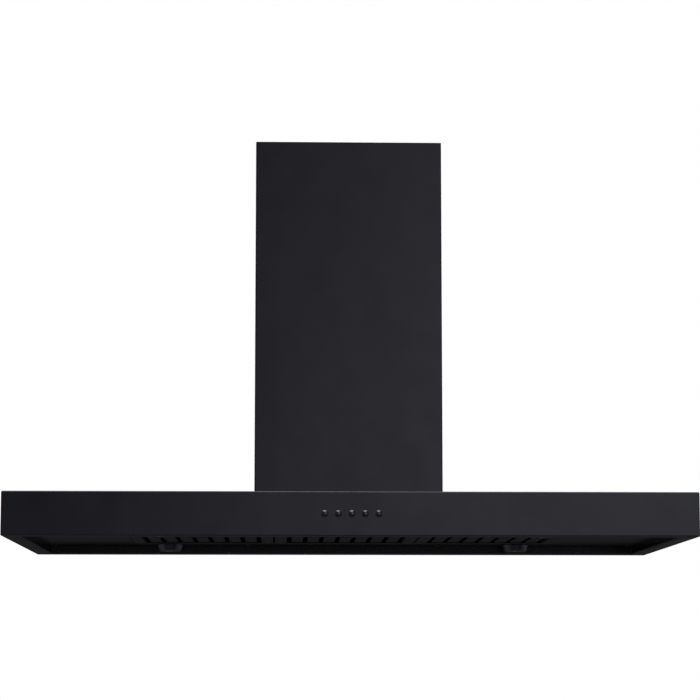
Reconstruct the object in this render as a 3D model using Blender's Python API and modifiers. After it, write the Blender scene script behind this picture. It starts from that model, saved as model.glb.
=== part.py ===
"""Island range hood: a shallow box canopy under a straight rectangular chimney, hung from a ceiling frame.

Metres, +Z up. The origin is the centre of the canopy's underside. The control face looks along -Y.
Air enters through three baffle filters in the recessed underside, rises through the canopy's top opening,
enters both sides of a centrifugal blower and leaves upwards through a round collar with two damper flaps.
"""

import math

import bmesh
import bpy
from mathutils import Matrix, Vector

# Overall
CANOPY_WIDTH = 1.200
CANOPY_DEPTH = 0.650
CANOPY_HEIGHT = 0.077
TOTAL_HEIGHT = 0.730
CHIMNEY_WIDTH = 0.338
CHIMNEY_DEPTH = 0.280

# Clearances
FIT_GAP = 0.0003
SLIDE_GAP = 0.0008

# Canopy sheet metal
CANOPY_SHEET = 0.0012
FLANGE_WIDTH = 0.030
LIP_HEIGHT = 0.016
PANEL_OVERHANG = 0.002
PANEL_SHEET = 0.0012
LAMP_STRIP = 0.102
END_PANEL = 0.169

# Lamps
LAMP_SPACING = 0.670
LAMP_DROP = 0.0140
LAMP_LENS_RADIUS = 0.0165
LAMP_LENS_THICKNESS = 0.002
LAMP_NOSE_RIM = 0.0057
LAMP_TAPER = 0.0035
LAMP_CAN_MARGIN = 0.0012
LAMP_CAN_HEIGHT = 0.034
LAMP_WALL = 0.0015

# Grease filters
FILTER_COUNT = 3
FILTER_GAP = 0.0025
FILTER_CLEARANCE = 0.0012
FILTER_DROP = 0.001
FILTER_HEIGHT = 0.012
FILTER_RAIL = 0.022
FILTER_TOP_RAIL = 0.014
FILTER_SHEET = 0.001
FILTER_TAB_REACH = 0.007
FILTER_TAB_WIDTH = 0.030
BAFFLE_PITCH = 0.030
BAFFLE_WIDTH = 0.022
BAFFLE_DEPTH = 0.0055
BAFFLE_SHEET = 0.0008
BAFFLE_END_BAR = 0.008
LATCH_WIDTH = 0.040
LATCH_SHEET = 0.0015
LATCH_REACH = 0.0005
LATCH_TRAVEL = 0.0075
LATCH_LENGTH = 0.016
GRIP_WIDTH = 0.028
GRIP_DROP = 0.010
GRIP_SHEET = 0.002
GRIP_LIP = 0.0085

# Push buttons
BUTTON_COUNT = 5
BUTTON_PITCH = 0.0232
BUTTON_RADIUS = 0.0062
BUTTON_PROUD = 0.0016
BUTTON_TRAVEL = 0.0025
BUTTON_COLLAR_LIP = 0.0016
BUTTON_COLLAR = 0.0012
BUTTON_CAP_DEPTH = 0.0085
BUTTON_STEM_RADIUS = 0.0025
BUTTON_STEM_LENGTH = 0.007
BUTTON_CLEARANCE = 0.0004
SWITCH_MARGIN = 0.006
SWITCH_DEPTH = 0.015
SWITCH_HEIGHT = 0.022

# Chimney and hanging frame
CHIMNEY_SHEET = 0.001
UPPER_CHIMNEY_SHEET = 0.0008
UPPER_CHIMNEY_LENGTH = 0.390
CHIMNEY_TOP_STEP = 0.0005
VENT_COUNT = 6
VENT_LENGTH = 0.120
VENT_HEIGHT = 0.006
VENT_PITCH = 0.014
VENT_TOP_MARGIN = 0.030
FRAME_SHEET = 0.002
BASE_LEG = 0.028
BASE_RISE = 0.020
UPRIGHT_LEG = 0.025
UPRIGHT_SHEET = 0.002
LOWER_UPRIGHT_LENGTH = 0.420
UPRIGHT_OVERLAP = 0.050
FRAME_TRAVEL = 0.300
SLOT_WIDTH = 0.006
SLOT_LENGTH = 0.040
BRACE_HEIGHT = 0.025
CEILING_PLATE = 0.0025
CEILING_HOLE_MARGIN = 0.006
FIXING_HOLE_RADIUS = 0.004
FIXING_INSET = 0.022

# Blower
DUCT_RADIUS = 0.075
HOUSING_WALL = 0.002
BLOWER_CLEARANCE = 0.004
TONGUE_GAP = 0.012
SCROLL_GROWTH = 0.025
OUTLET_RISE = 0.045
BLOWER_FOOT = 0.006
FOOT_SPREAD = 0.050
FOOT_WIDTH = 0.018
RAIL_WIDTH = 0.020
RAIL_SHEET = 0.003
IMPELLER_SIDE_GAP = 0.005
BLADE_COUNT = 28
BLADE_CHORD = 0.013
BLADE_THICKNESS = 0.0012
BLADE_PITCH_DEG = 35
RING_THICKNESS = 0.003
DISC_THICKNESS = 0.0025
HUB_RADIUS = 0.012
HUB_LENGTH = 0.016
SHAFT_RADIUS = 0.004
INLET_STEP = 0.011
INLET_RING_WIDTH = 0.010
INLET_RING_SHEET = 0.0015
INLET_RING_LIP = 0.0065
MOTOR_AIR_GAP = 0.0195
MOTOR_NOSE_GAP = 0.0025
BRACKET_SHEET = 0.0025
BRACKET_HUB_RADIUS = 0.030
BRACKET_BORE = 0.008
BRACKET_ARM_WIDTH = 0.012
BRACKET_PAD = 0.010

# Outlet collar and damper
COLLAR_HEIGHT = 0.055
COLLAR_WALL = 0.002
COLLAR_PLATE = 0.002
COLLAR_MARGIN = 0.008
FLAP_HEIGHT = 0.028
FLAP_SHEET = 0.0012
FLAP_EDGE_GAP = 0.0015
FLAP_SPLIT = 0.002
FLAP_PIN_OFFSET = 0.0045
FLAP_PIN_RADIUS = 0.0015
FLAP_PIN_CLEARANCE = 0.0004
FLAP_PIN_REACH = 0.002

# Electrics
BOX_HEIGHT = 0.033
BOX_WALL = 0.002
BOX_LID = 0.0025
BOX_CLEARANCE = 0.006
GLAND_RADIUS = 0.008
GLAND_BORE = 0.004
GLAND_LENGTH = 0.014
LEAD_RADIUS = 0.003
LEAD_END_GAP = 0.001
LEAD_POINT_SPACING = 0.016

# Facets round a full turn
COARSE = 12
ROUND = 24
FINE = 36

# Worked out from the sizes above: canopy
half_w = CANOPY_WIDTH / 2
half_d = CANOPY_DEPTH / 2
recess_x = half_w - FLANGE_WIDTH
recess_y = half_d - FLANGE_WIDTH
panel_x = recess_x + CANOPY_SHEET + PANEL_OVERHANG
panel_y = recess_y + CANOPY_SHEET + PANEL_OVERHANG
panel_low = LIP_HEIGHT + FIT_GAP
panel_top = panel_low + PANEL_SHEET
on_panel = panel_top + FIT_GAP
bank_x = recess_x - END_PANEL
bank_y = recess_y - LAMP_STRIP
lamp_x = LAMP_SPACING / 2
lamp_y = (bank_y + recess_y) / 2
button_z = CANOPY_HEIGHT / 2
button_collar_radius = BUTTON_RADIUS + BUTTON_COLLAR_LIP
switch_x = BUTTON_COUNT * BUTTON_PITCH / 2 + SWITCH_MARGIN
lamp_nose_radius = LAMP_LENS_RADIUS + LAMP_NOSE_RIM
lamp_bezel_radius = lamp_nose_radius + LAMP_TAPER
lamp_can_radius = LAMP_LENS_RADIUS + LAMP_CAN_MARGIN
wall_inside_y = half_d - CANOPY_SHEET

# Filters
filter_width = (2 * (bank_x - FILTER_CLEARANCE) - (FILTER_COUNT - 1) * FILTER_GAP) / FILTER_COUNT
filter_half_x = filter_width / 2
filter_half_y = bank_y - FILTER_CLEARANCE
filter_low = panel_low - FILTER_DROP
filter_top = filter_low + FILTER_HEIGHT

# Chimney and frame
chimney_x = CHIMNEY_WIDTH / 2
chimney_y = CHIMNEY_DEPTH / 2
chimney_low = CANOPY_HEIGHT + FIT_GAP
upper_x = chimney_x - CHIMNEY_SHEET - SLIDE_GAP
upper_y = chimney_y - CHIMNEY_SHEET - SLIDE_GAP
base_x = chimney_x - CHIMNEY_SHEET - FIT_GAP
base_y = chimney_y - CHIMNEY_SHEET - FIT_GAP
opening_x = base_x - BASE_LEG
opening_y = base_y - BASE_LEG
on_base = chimney_low + FRAME_SHEET + FIT_GAP
post_x = base_x - FRAME_SHEET - FIT_GAP
post_y = base_y - FRAME_SHEET - FIT_GAP
inner_post_x = post_x - UPRIGHT_SHEET - 2 * FIT_GAP
inner_post_y = post_y - UPRIGHT_SHEET - 2 * FIT_GAP
post_top = on_base + LOWER_UPRIGHT_LENGTH
ceiling_low = TOTAL_HEIGHT - CEILING_PLATE
inner_post_low = post_top - FRAME_TRAVEL - UPRIGHT_OVERLAP
inner_post_top = ceiling_low - FIT_GAP

# Blower: the scroll fills the chimney's depth, with its outlet centred on the chimney
room_y = upper_y - UPPER_CHIMNEY_SHEET - BLOWER_CLEARANCE - HOUSING_WALL
impeller_radius = (room_y + DUCT_RADIUS - 2 * TONGUE_GAP - 4 / 3 * SCROLL_GROWTH) / 2
scroll_start = impeller_radius + TONGUE_GAP
scroll_end = scroll_start + SCROLL_GROWTH
tongue_y = scroll_end - 2 * DUCT_RADIUS
tongue_angle = math.acos(tongue_y / scroll_start)
scroll_rate = SCROLL_GROWTH / (2 * math.pi - tongue_angle)
scroll_bottom = scroll_start + scroll_rate * (1.5 * math.pi - tongue_angle)
rail_top = on_base + RAIL_SHEET
axis_y = DUCT_RADIUS - scroll_end
axis_z = rail_top + BLOWER_FOOT + HOUSING_WALL + scroll_bottom
outlet_top = axis_z + scroll_start + OUTLET_RISE
housing_x = DUCT_RADIUS + HOUSING_WALL
impeller_x = DUCT_RADIUS - IMPELLER_SIDE_GAP
inlet_radius = impeller_radius - INLET_STEP
motor_radius = inlet_radius - MOTOR_AIR_GAP
ring_face = housing_x + FIT_GAP
bracket_low = ring_face + INLET_RING_LIP + FIT_GAP
collar_low = outlet_top + FIT_GAP
collar_top = collar_low + COLLAR_HEIGHT
flap_z = collar_low + FLAP_HEIGHT

# Control box: it fills the bay between the right rear lamp and the corner of the underside panel
box_x0 = lamp_x + lamp_bezel_radius + BOX_CLEARANCE
box_x1 = recess_x - BOX_CLEARANCE
box_y0 = bank_y + BOX_CLEARANCE
box_y1 = recess_y - BOX_CLEARANCE


def clear_scene():
    """Removes whatever the file opened with."""
    for obj in list(bpy.data.objects):
        bpy.data.objects.remove(obj, do_unlink=True)


def new_collection(name):
    made = bpy.data.collections.new(name)
    bpy.context.scene.collection.children.link(made)
    return made


def finish(name, color, roughness, metallic):
    """A Principled material."""
    material = bpy.data.materials.new(name)
    material.use_nodes = True
    shader = material.node_tree.nodes["Principled BSDF"]
    shader.inputs["Base Color"].default_value = (*color, 1)
    shader.inputs["Roughness"].default_value = roughness
    shader.inputs["Metallic"].default_value = metallic
    return material


def mesh_object(name, bm, material):
    """A new object from a bmesh, in the hood's collection."""
    mesh = bpy.data.meshes.new(name)
    bm.to_mesh(mesh)
    bm.free()
    if material:
        mesh.materials.append(material)
    obj = bpy.data.objects.new(name, mesh)
    hood.objects.link(obj)
    return obj


def smooth(obj):
    """Shades a round piece smooth, with its real edges kept sharp."""
    obj.data.shade_smooth()
    obj.data.set_sharp_from_angle(angle=math.radians(35))
    return obj


def centred(obj):
    """Moves an object's origin to the middle of its own box."""
    low = Vector(map(min, *(v.co for v in obj.data.vertices)))
    high = Vector(map(max, *(v.co for v in obj.data.vertices)))
    middle = (low + high) / 2
    obj.data.transform(Matrix.Translation(-middle))
    obj.location = middle
    return obj


def box(name, low, high, material=None):
    """A block from its lowest to its highest corner."""
    return boxes(name, [(low, high)], material)


def boxes(name, corners, material=None):
    """Several blocks in one object, each from its lowest to its highest corner."""
    bm = bmesh.new()
    for low, high in corners:
        low, high = Vector(low), Vector(high)
        place = Matrix.Translation((low + high) / 2) @ Matrix.Diagonal((*(high - low), 1))
        bmesh.ops.create_cube(bm, size=1, matrix=place)
    return centred(mesh_object(name, bm, material))


def cylinder(name, radius, start, end, material=None, segments=ROUND):
    """A round bar between two points."""
    start, end = Vector(start), Vector(end)
    bm = bmesh.new()
    bmesh.ops.create_cone(
        bm, cap_ends=True, segments=segments, radius1=radius, radius2=radius, depth=(end - start).length
    )
    obj = smooth(mesh_object(name, bm, material))
    obj.rotation_euler = (end - start).to_track_quat("Z", "Y").to_euler()
    obj.location = (start + end) / 2
    return obj


def turned(name, profile, place, axis, material, segments=ROUND, loop=True):
    """A piece turned on a lathe. The profile is (radius, height) points, down its outer side, along axis."""
    bm = bmesh.new()
    points = [bm.verts.new((radius, 0, height)) for radius, height in profile]
    ends = zip(points, points[1:] + points[:1]) if loop else zip(points, points[1:])
    for a, b in ends:
        bm.edges.new((a, b))
    obj = mesh_object(name, bm, material)
    obj.rotation_euler = Vector(axis).to_track_quat("Z", "Y").to_euler()
    obj.location = place
    screw = obj.modifiers.new("Lathe", "SCREW")
    screw.steps = screw.render_steps = segments
    screw.use_merge_vertices = True
    screw.merge_threshold = 0.00001
    screw.use_smooth_shade = False
    return obj


def flat(name, outlines, thickness, place, material, turn=None):
    """A flat plate: the first outline is its edge, and the others are holes. Its middle lies at place."""
    curve = bpy.data.curves.new(name, "CURVE")
    curve.dimensions = "2D"
    curve.fill_mode = "BOTH"
    curve.extrude = thickness / 2
    for outline in outlines:
        spline = curve.splines.new("POLY")
        spline.points.add(len(outline) - 1)
        for point, (x, y) in zip(spline.points, outline):
            point.co = (x, y, 0, 1)
        spline.use_cyclic_u = True
    if material:
        curve.materials.append(material)
    obj = bpy.data.objects.new(name, curve)
    hood.objects.link(obj)
    if turn:
        obj.rotation_euler = turn.to_euler()
    obj.location = place
    return obj


def as_mesh(curve_object):
    """Replaces a curve object by its mesh, so that it can be cut or joined."""
    bpy.context.view_layer.update()
    evaluated = curve_object.evaluated_get(bpy.context.evaluated_depsgraph_get())
    mesh = bpy.data.meshes.new_from_object(evaluated)
    bm = bmesh.new()
    bm.from_mesh(mesh)
    bmesh.ops.remove_doubles(bm, verts=bm.verts, dist=0.000001)
    bm.to_mesh(mesh)
    bm.free()
    name, place = curve_object.name, curve_object.matrix_world.copy()
    bpy.data.objects.remove(curve_object, do_unlink=True)
    obj = bpy.data.objects.new(name, mesh)
    hood.objects.link(obj)
    obj.matrix_world = place
    return obj


def boolean(target, tool, operation="DIFFERENCE"):
    """Cuts tool from target, or joins it to target, and puts the tool away."""
    modifier = target.modifiers.new(operation.title(), "BOOLEAN")
    modifier.operation = operation
    modifier.solver = "EXACT"
    modifier.object = tool
    tool.hide_render = True
    tool.display_type = "WIRE"
    hood.objects.unlink(tool)
    cutters.objects.link(tool)
    return target


def rectangle(half_x, half_y):
    return [(-half_x, -half_y), (half_x, -half_y), (half_x, half_y), (-half_x, half_y)]


def circle(radius, x=0.0, y=0.0, segments=ROUND):
    turns = [2 * math.pi * i / segments for i in range(segments)]
    return [(x + radius * math.cos(t), y + radius * math.sin(t)) for t in turns]


def folded(name, levels, sheet, material):
    """Sheet metal folded round a rectangle.

    levels are (half x, half y, height) of the sheet's outer face, in order along the sheet, which turns right
    round the piece from a top edge over the outside. The sheet's thickness lies behind that face.
    """
    bm = bmesh.new()
    first_x, first_y, first_z = levels[0]
    corners = [bm.verts.new((x, y, first_z)) for x, y in rectangle(first_x, first_y)]
    edges = [bm.edges.new((corners[i], corners[(i + 1) % 4])) for i in range(4)]
    for (from_x, from_y, from_z), (to_x, to_y, to_z) in zip(levels, levels[1:]):
        made = bmesh.ops.extrude_edge_only(bm, edges=edges)["geom"]
        moved = [v for v in made if isinstance(v, bmesh.types.BMVert)]
        edges = [e for e in made if isinstance(e, bmesh.types.BMEdge) and all(v in moved for v in e.verts)]
        grow = Matrix.Diagonal((to_x / from_x, to_y / from_y, 1, 1))
        bmesh.ops.transform(bm, matrix=Matrix.Translation((0, 0, to_z - from_z)) @ grow, verts=moved)
    bmesh.ops.recalc_face_normals(bm, faces=bm.faces)
    outer = max(bm.faces, key=lambda f: abs(f.normal.x) * abs(f.calc_center_median().x))
    if outer.normal.x * outer.calc_center_median().x < 0:
        bmesh.ops.reverse_faces(bm, faces=bm.faces)
    obj = mesh_object(name, bm, material)
    solid = obj.modifiers.new("Sheet", "SOLIDIFY")
    solid.thickness = sheet
    solid.offset = -1
    solid.use_even_offset = True
    return obj


def empty(name, place):
    """A frame on a joint's axis, for the pieces that move with it."""
    obj = bpy.data.objects.new(name, None)
    obj.location = place
    obj.empty_display_size = 0.02
    hood.objects.link(obj)
    return obj


def hang_on(parent, *children):
    """Parents pieces to a joint's frame, which only has a place, keeping them where they are."""
    for child in children:
        child.parent = parent
        child.matrix_parent_inverse = Matrix.Translation(-parent.location)


def build_canopy():
    """The outer box, folded in at the bottom to a flange and up again to a lip, and the recessed underside."""
    shell = folded(
        "canopy_shell",
        [
            (opening_x, opening_y, CANOPY_HEIGHT),
            (half_w, half_d, CANOPY_HEIGHT),
            (half_w, half_d, 0),
            (recess_x, recess_y, 0),
            (recess_x, recess_y, LIP_HEIGHT),
        ],
        CANOPY_SHEET,
        black_enamel,
    )
    bm = bmesh.new()
    for x in button_places():
        place = Matrix.Translation((x, -wall_inside_y, button_z)) @ Matrix.Rotation(math.pi / 2, 4, "X")
        bmesh.ops.create_cone(
            bm,
            cap_ends=True,
            segments=COARSE,
            radius1=BUTTON_RADIUS + BUTTON_CLEARANCE,
            radius2=BUTTON_RADIUS + BUTTON_CLEARANCE,
            depth=4 * CANOPY_SHEET,
            matrix=place,
        )
    boolean(shell, mesh_object("button_holes", bm, None))

    lamp_holes = [
        circle(lamp_can_radius + SLIDE_GAP, sx * lamp_x, sy * lamp_y) for sx in (-1, 1) for sy in (-1, 1)
    ]
    flat(
        "underside_panel",
        [rectangle(panel_x, panel_y), rectangle(bank_x, bank_y), *lamp_holes],
        PANEL_SHEET,
        (0, 0, (panel_low + panel_top) / 2),
        black_enamel,
    )


def build_lamp(name, x, y):
    """A spot lamp: a tapered bezel under the panel, its glass, and the lamp can above."""
    top = panel_low - FIT_GAP
    low = panel_low - LAMP_DROP
    seat = low + LAMP_WALL
    glass_hole = LAMP_LENS_RADIUS - LAMP_WALL
    glass_room = LAMP_LENS_RADIUS + FIT_GAP
    turned(
        f"lamp_bezel_{name}",
        [
            (lamp_bezel_radius, top),
            (lamp_bezel_radius, top - LAMP_WALL),
            (lamp_nose_radius, seat),
            (lamp_nose_radius - LAMP_WALL, low),
            (glass_hole, low),
            (glass_hole, seat),
            (glass_room, seat),
            (glass_room, top),
        ],
        (x, y, 0),
        (0, 0, 1),
        satin_steel,
    )
    lens_low = seat + FIT_GAP
    cylinder(
        f"lamp_lens_{name}", LAMP_LENS_RADIUS, (x, y, lens_low), (x, y, lens_low + LAMP_LENS_THICKNESS), frosted_glass
    )
    can_top = on_panel + LAMP_CAN_HEIGHT
    can_inside = lamp_can_radius - LAMP_WALL
    turned(
        f"lamp_can_{name}",
        [
            (0, can_top),
            (lamp_can_radius, can_top),
            (lamp_can_radius, on_panel + LAMP_WALL),
            (lamp_bezel_radius, on_panel + LAMP_WALL),
            (lamp_bezel_radius, on_panel),
            (can_inside, on_panel),
            (can_inside, can_top - LAMP_WALL),
            (0, can_top - LAMP_WALL),
        ],
        (x, y, 0),
        (0, 0, 1),
        zinc_sheet,
        loop=False,
    )


def build_lamps():
    for depth_name, sy in (("front", -1), ("rear", 1)):
        for side_name, sx in (("left", -1), ("right", 1)):
            build_lamp(f"{depth_name}_{side_name}", sx * lamp_x, sy * lamp_y)


def build_filter(name, x):
    """A grease filter: a channel frame, a pack of staggered baffles inside it, and a sprung pull latch."""
    frame = folded(
        f"filter_frame_{name}",
        [
            (filter_half_x - FILTER_TOP_RAIL, filter_half_y - FILTER_TOP_RAIL, filter_top),
            (filter_half_x, filter_half_y, filter_top),
            (filter_half_x, filter_half_y, filter_low),
            (filter_half_x - FILTER_RAIL, filter_half_y - FILTER_RAIL, filter_low),
        ],
        FILTER_SHEET,
        black_steel,
    )
    frame.location.x = x
    front = -filter_half_y
    tongue_low = on_panel
    tongue_high = tongue_low + LATCH_SHEET
    inside_front = front + FILTER_SHEET

    tab_x = filter_half_x / 2
    tabs = boxes(
        f"tabs_{name}",
        [
            (
                (x + side * tab_x - FILTER_TAB_WIDTH / 2, filter_half_y - FILTER_SHEET / 2, on_panel),
                (x + side * tab_x + FILTER_TAB_WIDTH / 2, filter_half_y + FILTER_TAB_REACH, on_panel + FILTER_SHEET),
            )
            for side in (-1, 1)
        ],
    )
    boolean(frame, tabs, "UNION")

    grip_front = inside_front + GRIP_SHEET
    grip_slot = boxes(
        f"latch_slots_{name}",
        [
            (
                (x - LATCH_WIDTH / 2 - SLIDE_GAP, front - FILTER_SHEET, tongue_low - FIT_GAP),
                (x + LATCH_WIDTH / 2 + SLIDE_GAP, inside_front + FILTER_SHEET, tongue_high + FIT_GAP),
            ),
            (
                (x - GRIP_WIDTH / 2 - SLIDE_GAP, grip_front - SLIDE_GAP, filter_low - FILTER_SHEET),
                (
                    x + GRIP_WIDTH / 2 + SLIDE_GAP,
                    grip_front + GRIP_SHEET + LATCH_TRAVEL + SLIDE_GAP,
                    filter_low + 1.5 * FILTER_SHEET,
                ),
            ),
        ],
    )
    boolean(frame, grip_slot)

    tongue_rear = front + LATCH_LENGTH
    latch = box(
        f"filter_latch_{name}",
        (x - LATCH_WIDTH / 2, front - LATCH_REACH, tongue_low),
        (x + LATCH_WIDTH / 2, tongue_rear, tongue_high),
        black_plastic,
    )
    grip_low = filter_low - GRIP_DROP
    stem = box(
        f"grip_stem_{name}",
        (x - GRIP_WIDTH / 2, grip_front, grip_low),
        (x + GRIP_WIDTH / 2, grip_front + GRIP_SHEET, (tongue_low + tongue_high) / 2),
    )
    lip = box(
        f"grip_lip_{name}",
        (x - GRIP_WIDTH / 2 + FIT_GAP, grip_front + GRIP_SHEET / 2, grip_low + FIT_GAP),
        (x + GRIP_WIDTH / 2 - FIT_GAP, grip_front + GRIP_LIP, grip_low + LATCH_SHEET),
    )
    boolean(latch, stem, "UNION")
    boolean(latch, lip, "UNION")

    pack_front = tongue_rear + LATCH_TRAVEL + SLIDE_GAP
    baffles = build_baffles(f"filter_baffles_{name}", x, pack_front)

    hinge = empty(f"filter_{name}_hinge", (x, bank_y, panel_top))
    hang_on(hinge, frame, baffles, latch)


def build_baffles(name, x, pack_front):
    """Channels open upwards, with channels open downwards over the gaps between them, joined by two end bars."""
    low = filter_low + FILTER_SHEET + FIT_GAP
    high = filter_top - FILTER_SHEET - FIT_GAP
    half = filter_half_x - FILTER_SHEET - FIT_GAP
    rear = filter_half_y - FILTER_SHEET - FIT_GAP
    gaps = round((2 * half - BAFFLE_WIDTH) / BAFFLE_PITCH)
    pitch = (2 * half - BAFFLE_WIDTH) / gaps
    inset = BAFFLE_END_BAR / 2
    bm = bmesh.new()
    rows = [(gaps + 1, low, low + BAFFLE_DEPTH), (gaps, high, high - BAFFLE_DEPTH)]
    for count, web, edge in rows:
        for i in range(count):
            middle = (i - (count - 1) / 2) * pitch
            left, right = middle - BAFFLE_WIDTH / 2, middle + BAFFLE_WIDTH / 2
            section = [(left, edge), (left, web), (right, web), (right, edge)]
            points = [bm.verts.new((px, pack_front + inset, pz)) for px, pz in section]
            edges = [bm.edges.new(pair) for pair in zip(points, points[1:])]
            made = bmesh.ops.extrude_edge_only(bm, edges=edges)["geom"]
            moved = [v for v in made if isinstance(v, bmesh.types.BMVert)]
            bmesh.ops.translate(bm, verts=moved, vec=(0, rear - pack_front - 2 * inset, 0))
            faces = [f for f in made if isinstance(f, bmesh.types.BMFace)]
            web_face = max(faces, key=lambda f: abs(f.normal.z))
            outwards = -1 if edge > web else 1
            web_face.normal_update()
            if web_face.normal.z * outwards < 0:
                bmesh.ops.reverse_faces(bm, faces=faces)
    pack = mesh_object(name, bm, black_steel)
    pack.location.x = x
    solid = pack.modifiers.new("Sheet", "SOLIDIFY")
    solid.thickness = BAFFLE_SHEET
    solid.offset = -1
    bars = boxes(
        f"end_bars_{name}",
        [
            ((x - half, y, low - FIT_GAP / 2), (x + half, y + BAFFLE_END_BAR, high + FIT_GAP / 2))
            for y in (pack_front, rear - BAFFLE_END_BAR)
        ],
    )
    return boolean(pack, bars, "UNION")


def build_filters():
    names = ["left", "centre", "right"] if FILTER_COUNT == 3 else range(1, FILTER_COUNT + 1)
    for i, name in enumerate(names):
        build_filter(name, (i - (FILTER_COUNT - 1) / 2) * (filter_width + FILTER_GAP))


def button_places():
    return [(i - (BUTTON_COUNT - 1) / 2) * BUTTON_PITCH for i in range(BUTTON_COUNT)]


def build_controls():
    """Five round push buttons through the front wall, and the switch block behind them."""
    front = half_d + BUTTON_PROUD
    collar = wall_inside_y - FIT_GAP
    cap_end = front - BUTTON_CAP_DEPTH
    stem_end = cap_end - BUTTON_STEM_LENGTH
    switch_front = cap_end - BUTTON_TRAVEL - FIT_GAP
    for number, x in enumerate(button_places(), 1):
        button = turned(
            f"button_{number}",
            [
                (0, front - BUTTON_CLEARANCE),
                (BUTTON_RADIUS - 3 * BUTTON_CLEARANCE, front),
                (BUTTON_RADIUS - BUTTON_CLEARANCE, front),
                (BUTTON_RADIUS, front - BUTTON_CLEARANCE),
                (BUTTON_RADIUS, collar),
                (button_collar_radius, collar),
                (button_collar_radius, collar - BUTTON_COLLAR),
                (BUTTON_RADIUS, collar - BUTTON_COLLAR),
                (BUTTON_RADIUS, cap_end),
                (BUTTON_STEM_RADIUS, cap_end),
                (BUTTON_STEM_RADIUS, stem_end),
                (0, stem_end),
            ],
            (x, 0, button_z),
            (0, -1, 0),
            grey_plastic,
            COARSE,
            loop=False,
        )
        hang_on(empty(f"button_{number}_slide", (x, -half_d, button_z)), button)

    switch = box(
        "switch_housing",
        (-switch_x, -switch_front, button_z - SWITCH_HEIGHT / 2),
        (switch_x, -switch_front + SWITCH_DEPTH, button_z + SWITCH_HEIGHT / 2),
        black_plastic,
    )
    bore_end = stem_end - BUTTON_TRAVEL - SLIDE_GAP
    bm = bmesh.new()
    for x in button_places():
        middle = -(switch_front + FIT_GAP * 2 + bore_end) / 2
        place = Matrix.Translation((x, middle, button_z)) @ Matrix.Rotation(math.pi / 2, 4, "X")
        bmesh.ops.create_cone(
            bm,
            cap_ends=True,
            segments=COARSE,
            radius1=BUTTON_STEM_RADIUS + BUTTON_CLEARANCE,
            radius2=BUTTON_STEM_RADIUS + BUTTON_CLEARANCE,
            depth=switch_front + FIT_GAP * 2 - bore_end,
            matrix=place,
        )
    boolean(switch, mesh_object("stem_bores", bm, None))
    return -switch_front + SWITCH_DEPTH / 2


def build_chimney():
    """The outer chimney stands on the canopy. The inner one slides up out of it and has vents near its top."""
    folded(
        "lower_chimney",
        [(chimney_x, chimney_y, TOTAL_HEIGHT - 2 * CHIMNEY_TOP_STEP), (chimney_x, chimney_y, chimney_low)],
        CHIMNEY_SHEET,
        black_enamel,
    )
    top = TOTAL_HEIGHT - CHIMNEY_TOP_STEP
    upper = folded(
        "upper_chimney",
        [(upper_x, upper_y, top), (upper_x, upper_y, top - UPPER_CHIMNEY_LENGTH)],
        UPPER_CHIMNEY_SHEET,
        black_enamel,
    )
    vents = []
    for side in (-1, 1):
        for i in range(VENT_COUNT):
            z = top - VENT_TOP_MARGIN - i * VENT_PITCH
            x = side * upper_x
            vents.append(((x - 0.01, -VENT_LENGTH / 2, z - VENT_HEIGHT), (x + 0.01, VENT_LENGTH / 2, z)))
    boolean(upper, boxes("vents", vents))
    hang_on(empty("chimney_extension", (0, 0, top)), upper)


def build_post(name, x, y, low, high, leg, material):
    """An angle bar with its corner at x, y and two adjusting slots in each leg."""
    sx, sy = math.copysign(1, x), math.copysign(1, y)
    t = UPRIGHT_SHEET
    corner = [(0, 0), (-sx * leg, 0), (-sx * leg, -sy * t), (-sx * t, -sy * t), (-sx * t, -sy * leg), (0, -sy * leg)]
    if sx * sy < 0:
        corner.reverse()
    post = as_mesh(flat(name, [corner], high - low, (x, y, (low + high) / 2), material))
    slots = []
    through = 2 * t
    for z in (low + 2 * SLOT_LENGTH, high - 2 * SLOT_LENGTH):
        along = (leg + t) / 2
        for cx, cy, rx, ry in (
            (x - sx * along, y - sy * t / 2, SLOT_WIDTH / 2, through),
            (x - sx * t / 2, y - sy * along, through, SLOT_WIDTH / 2),
        ):
            slots.append(((cx - rx, cy - ry, z - SLOT_LENGTH / 2), (cx + rx, cy + ry, z + SLOT_LENGTH / 2)))
    return boolean(post, boxes(f"slots_{name}", slots))


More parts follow.
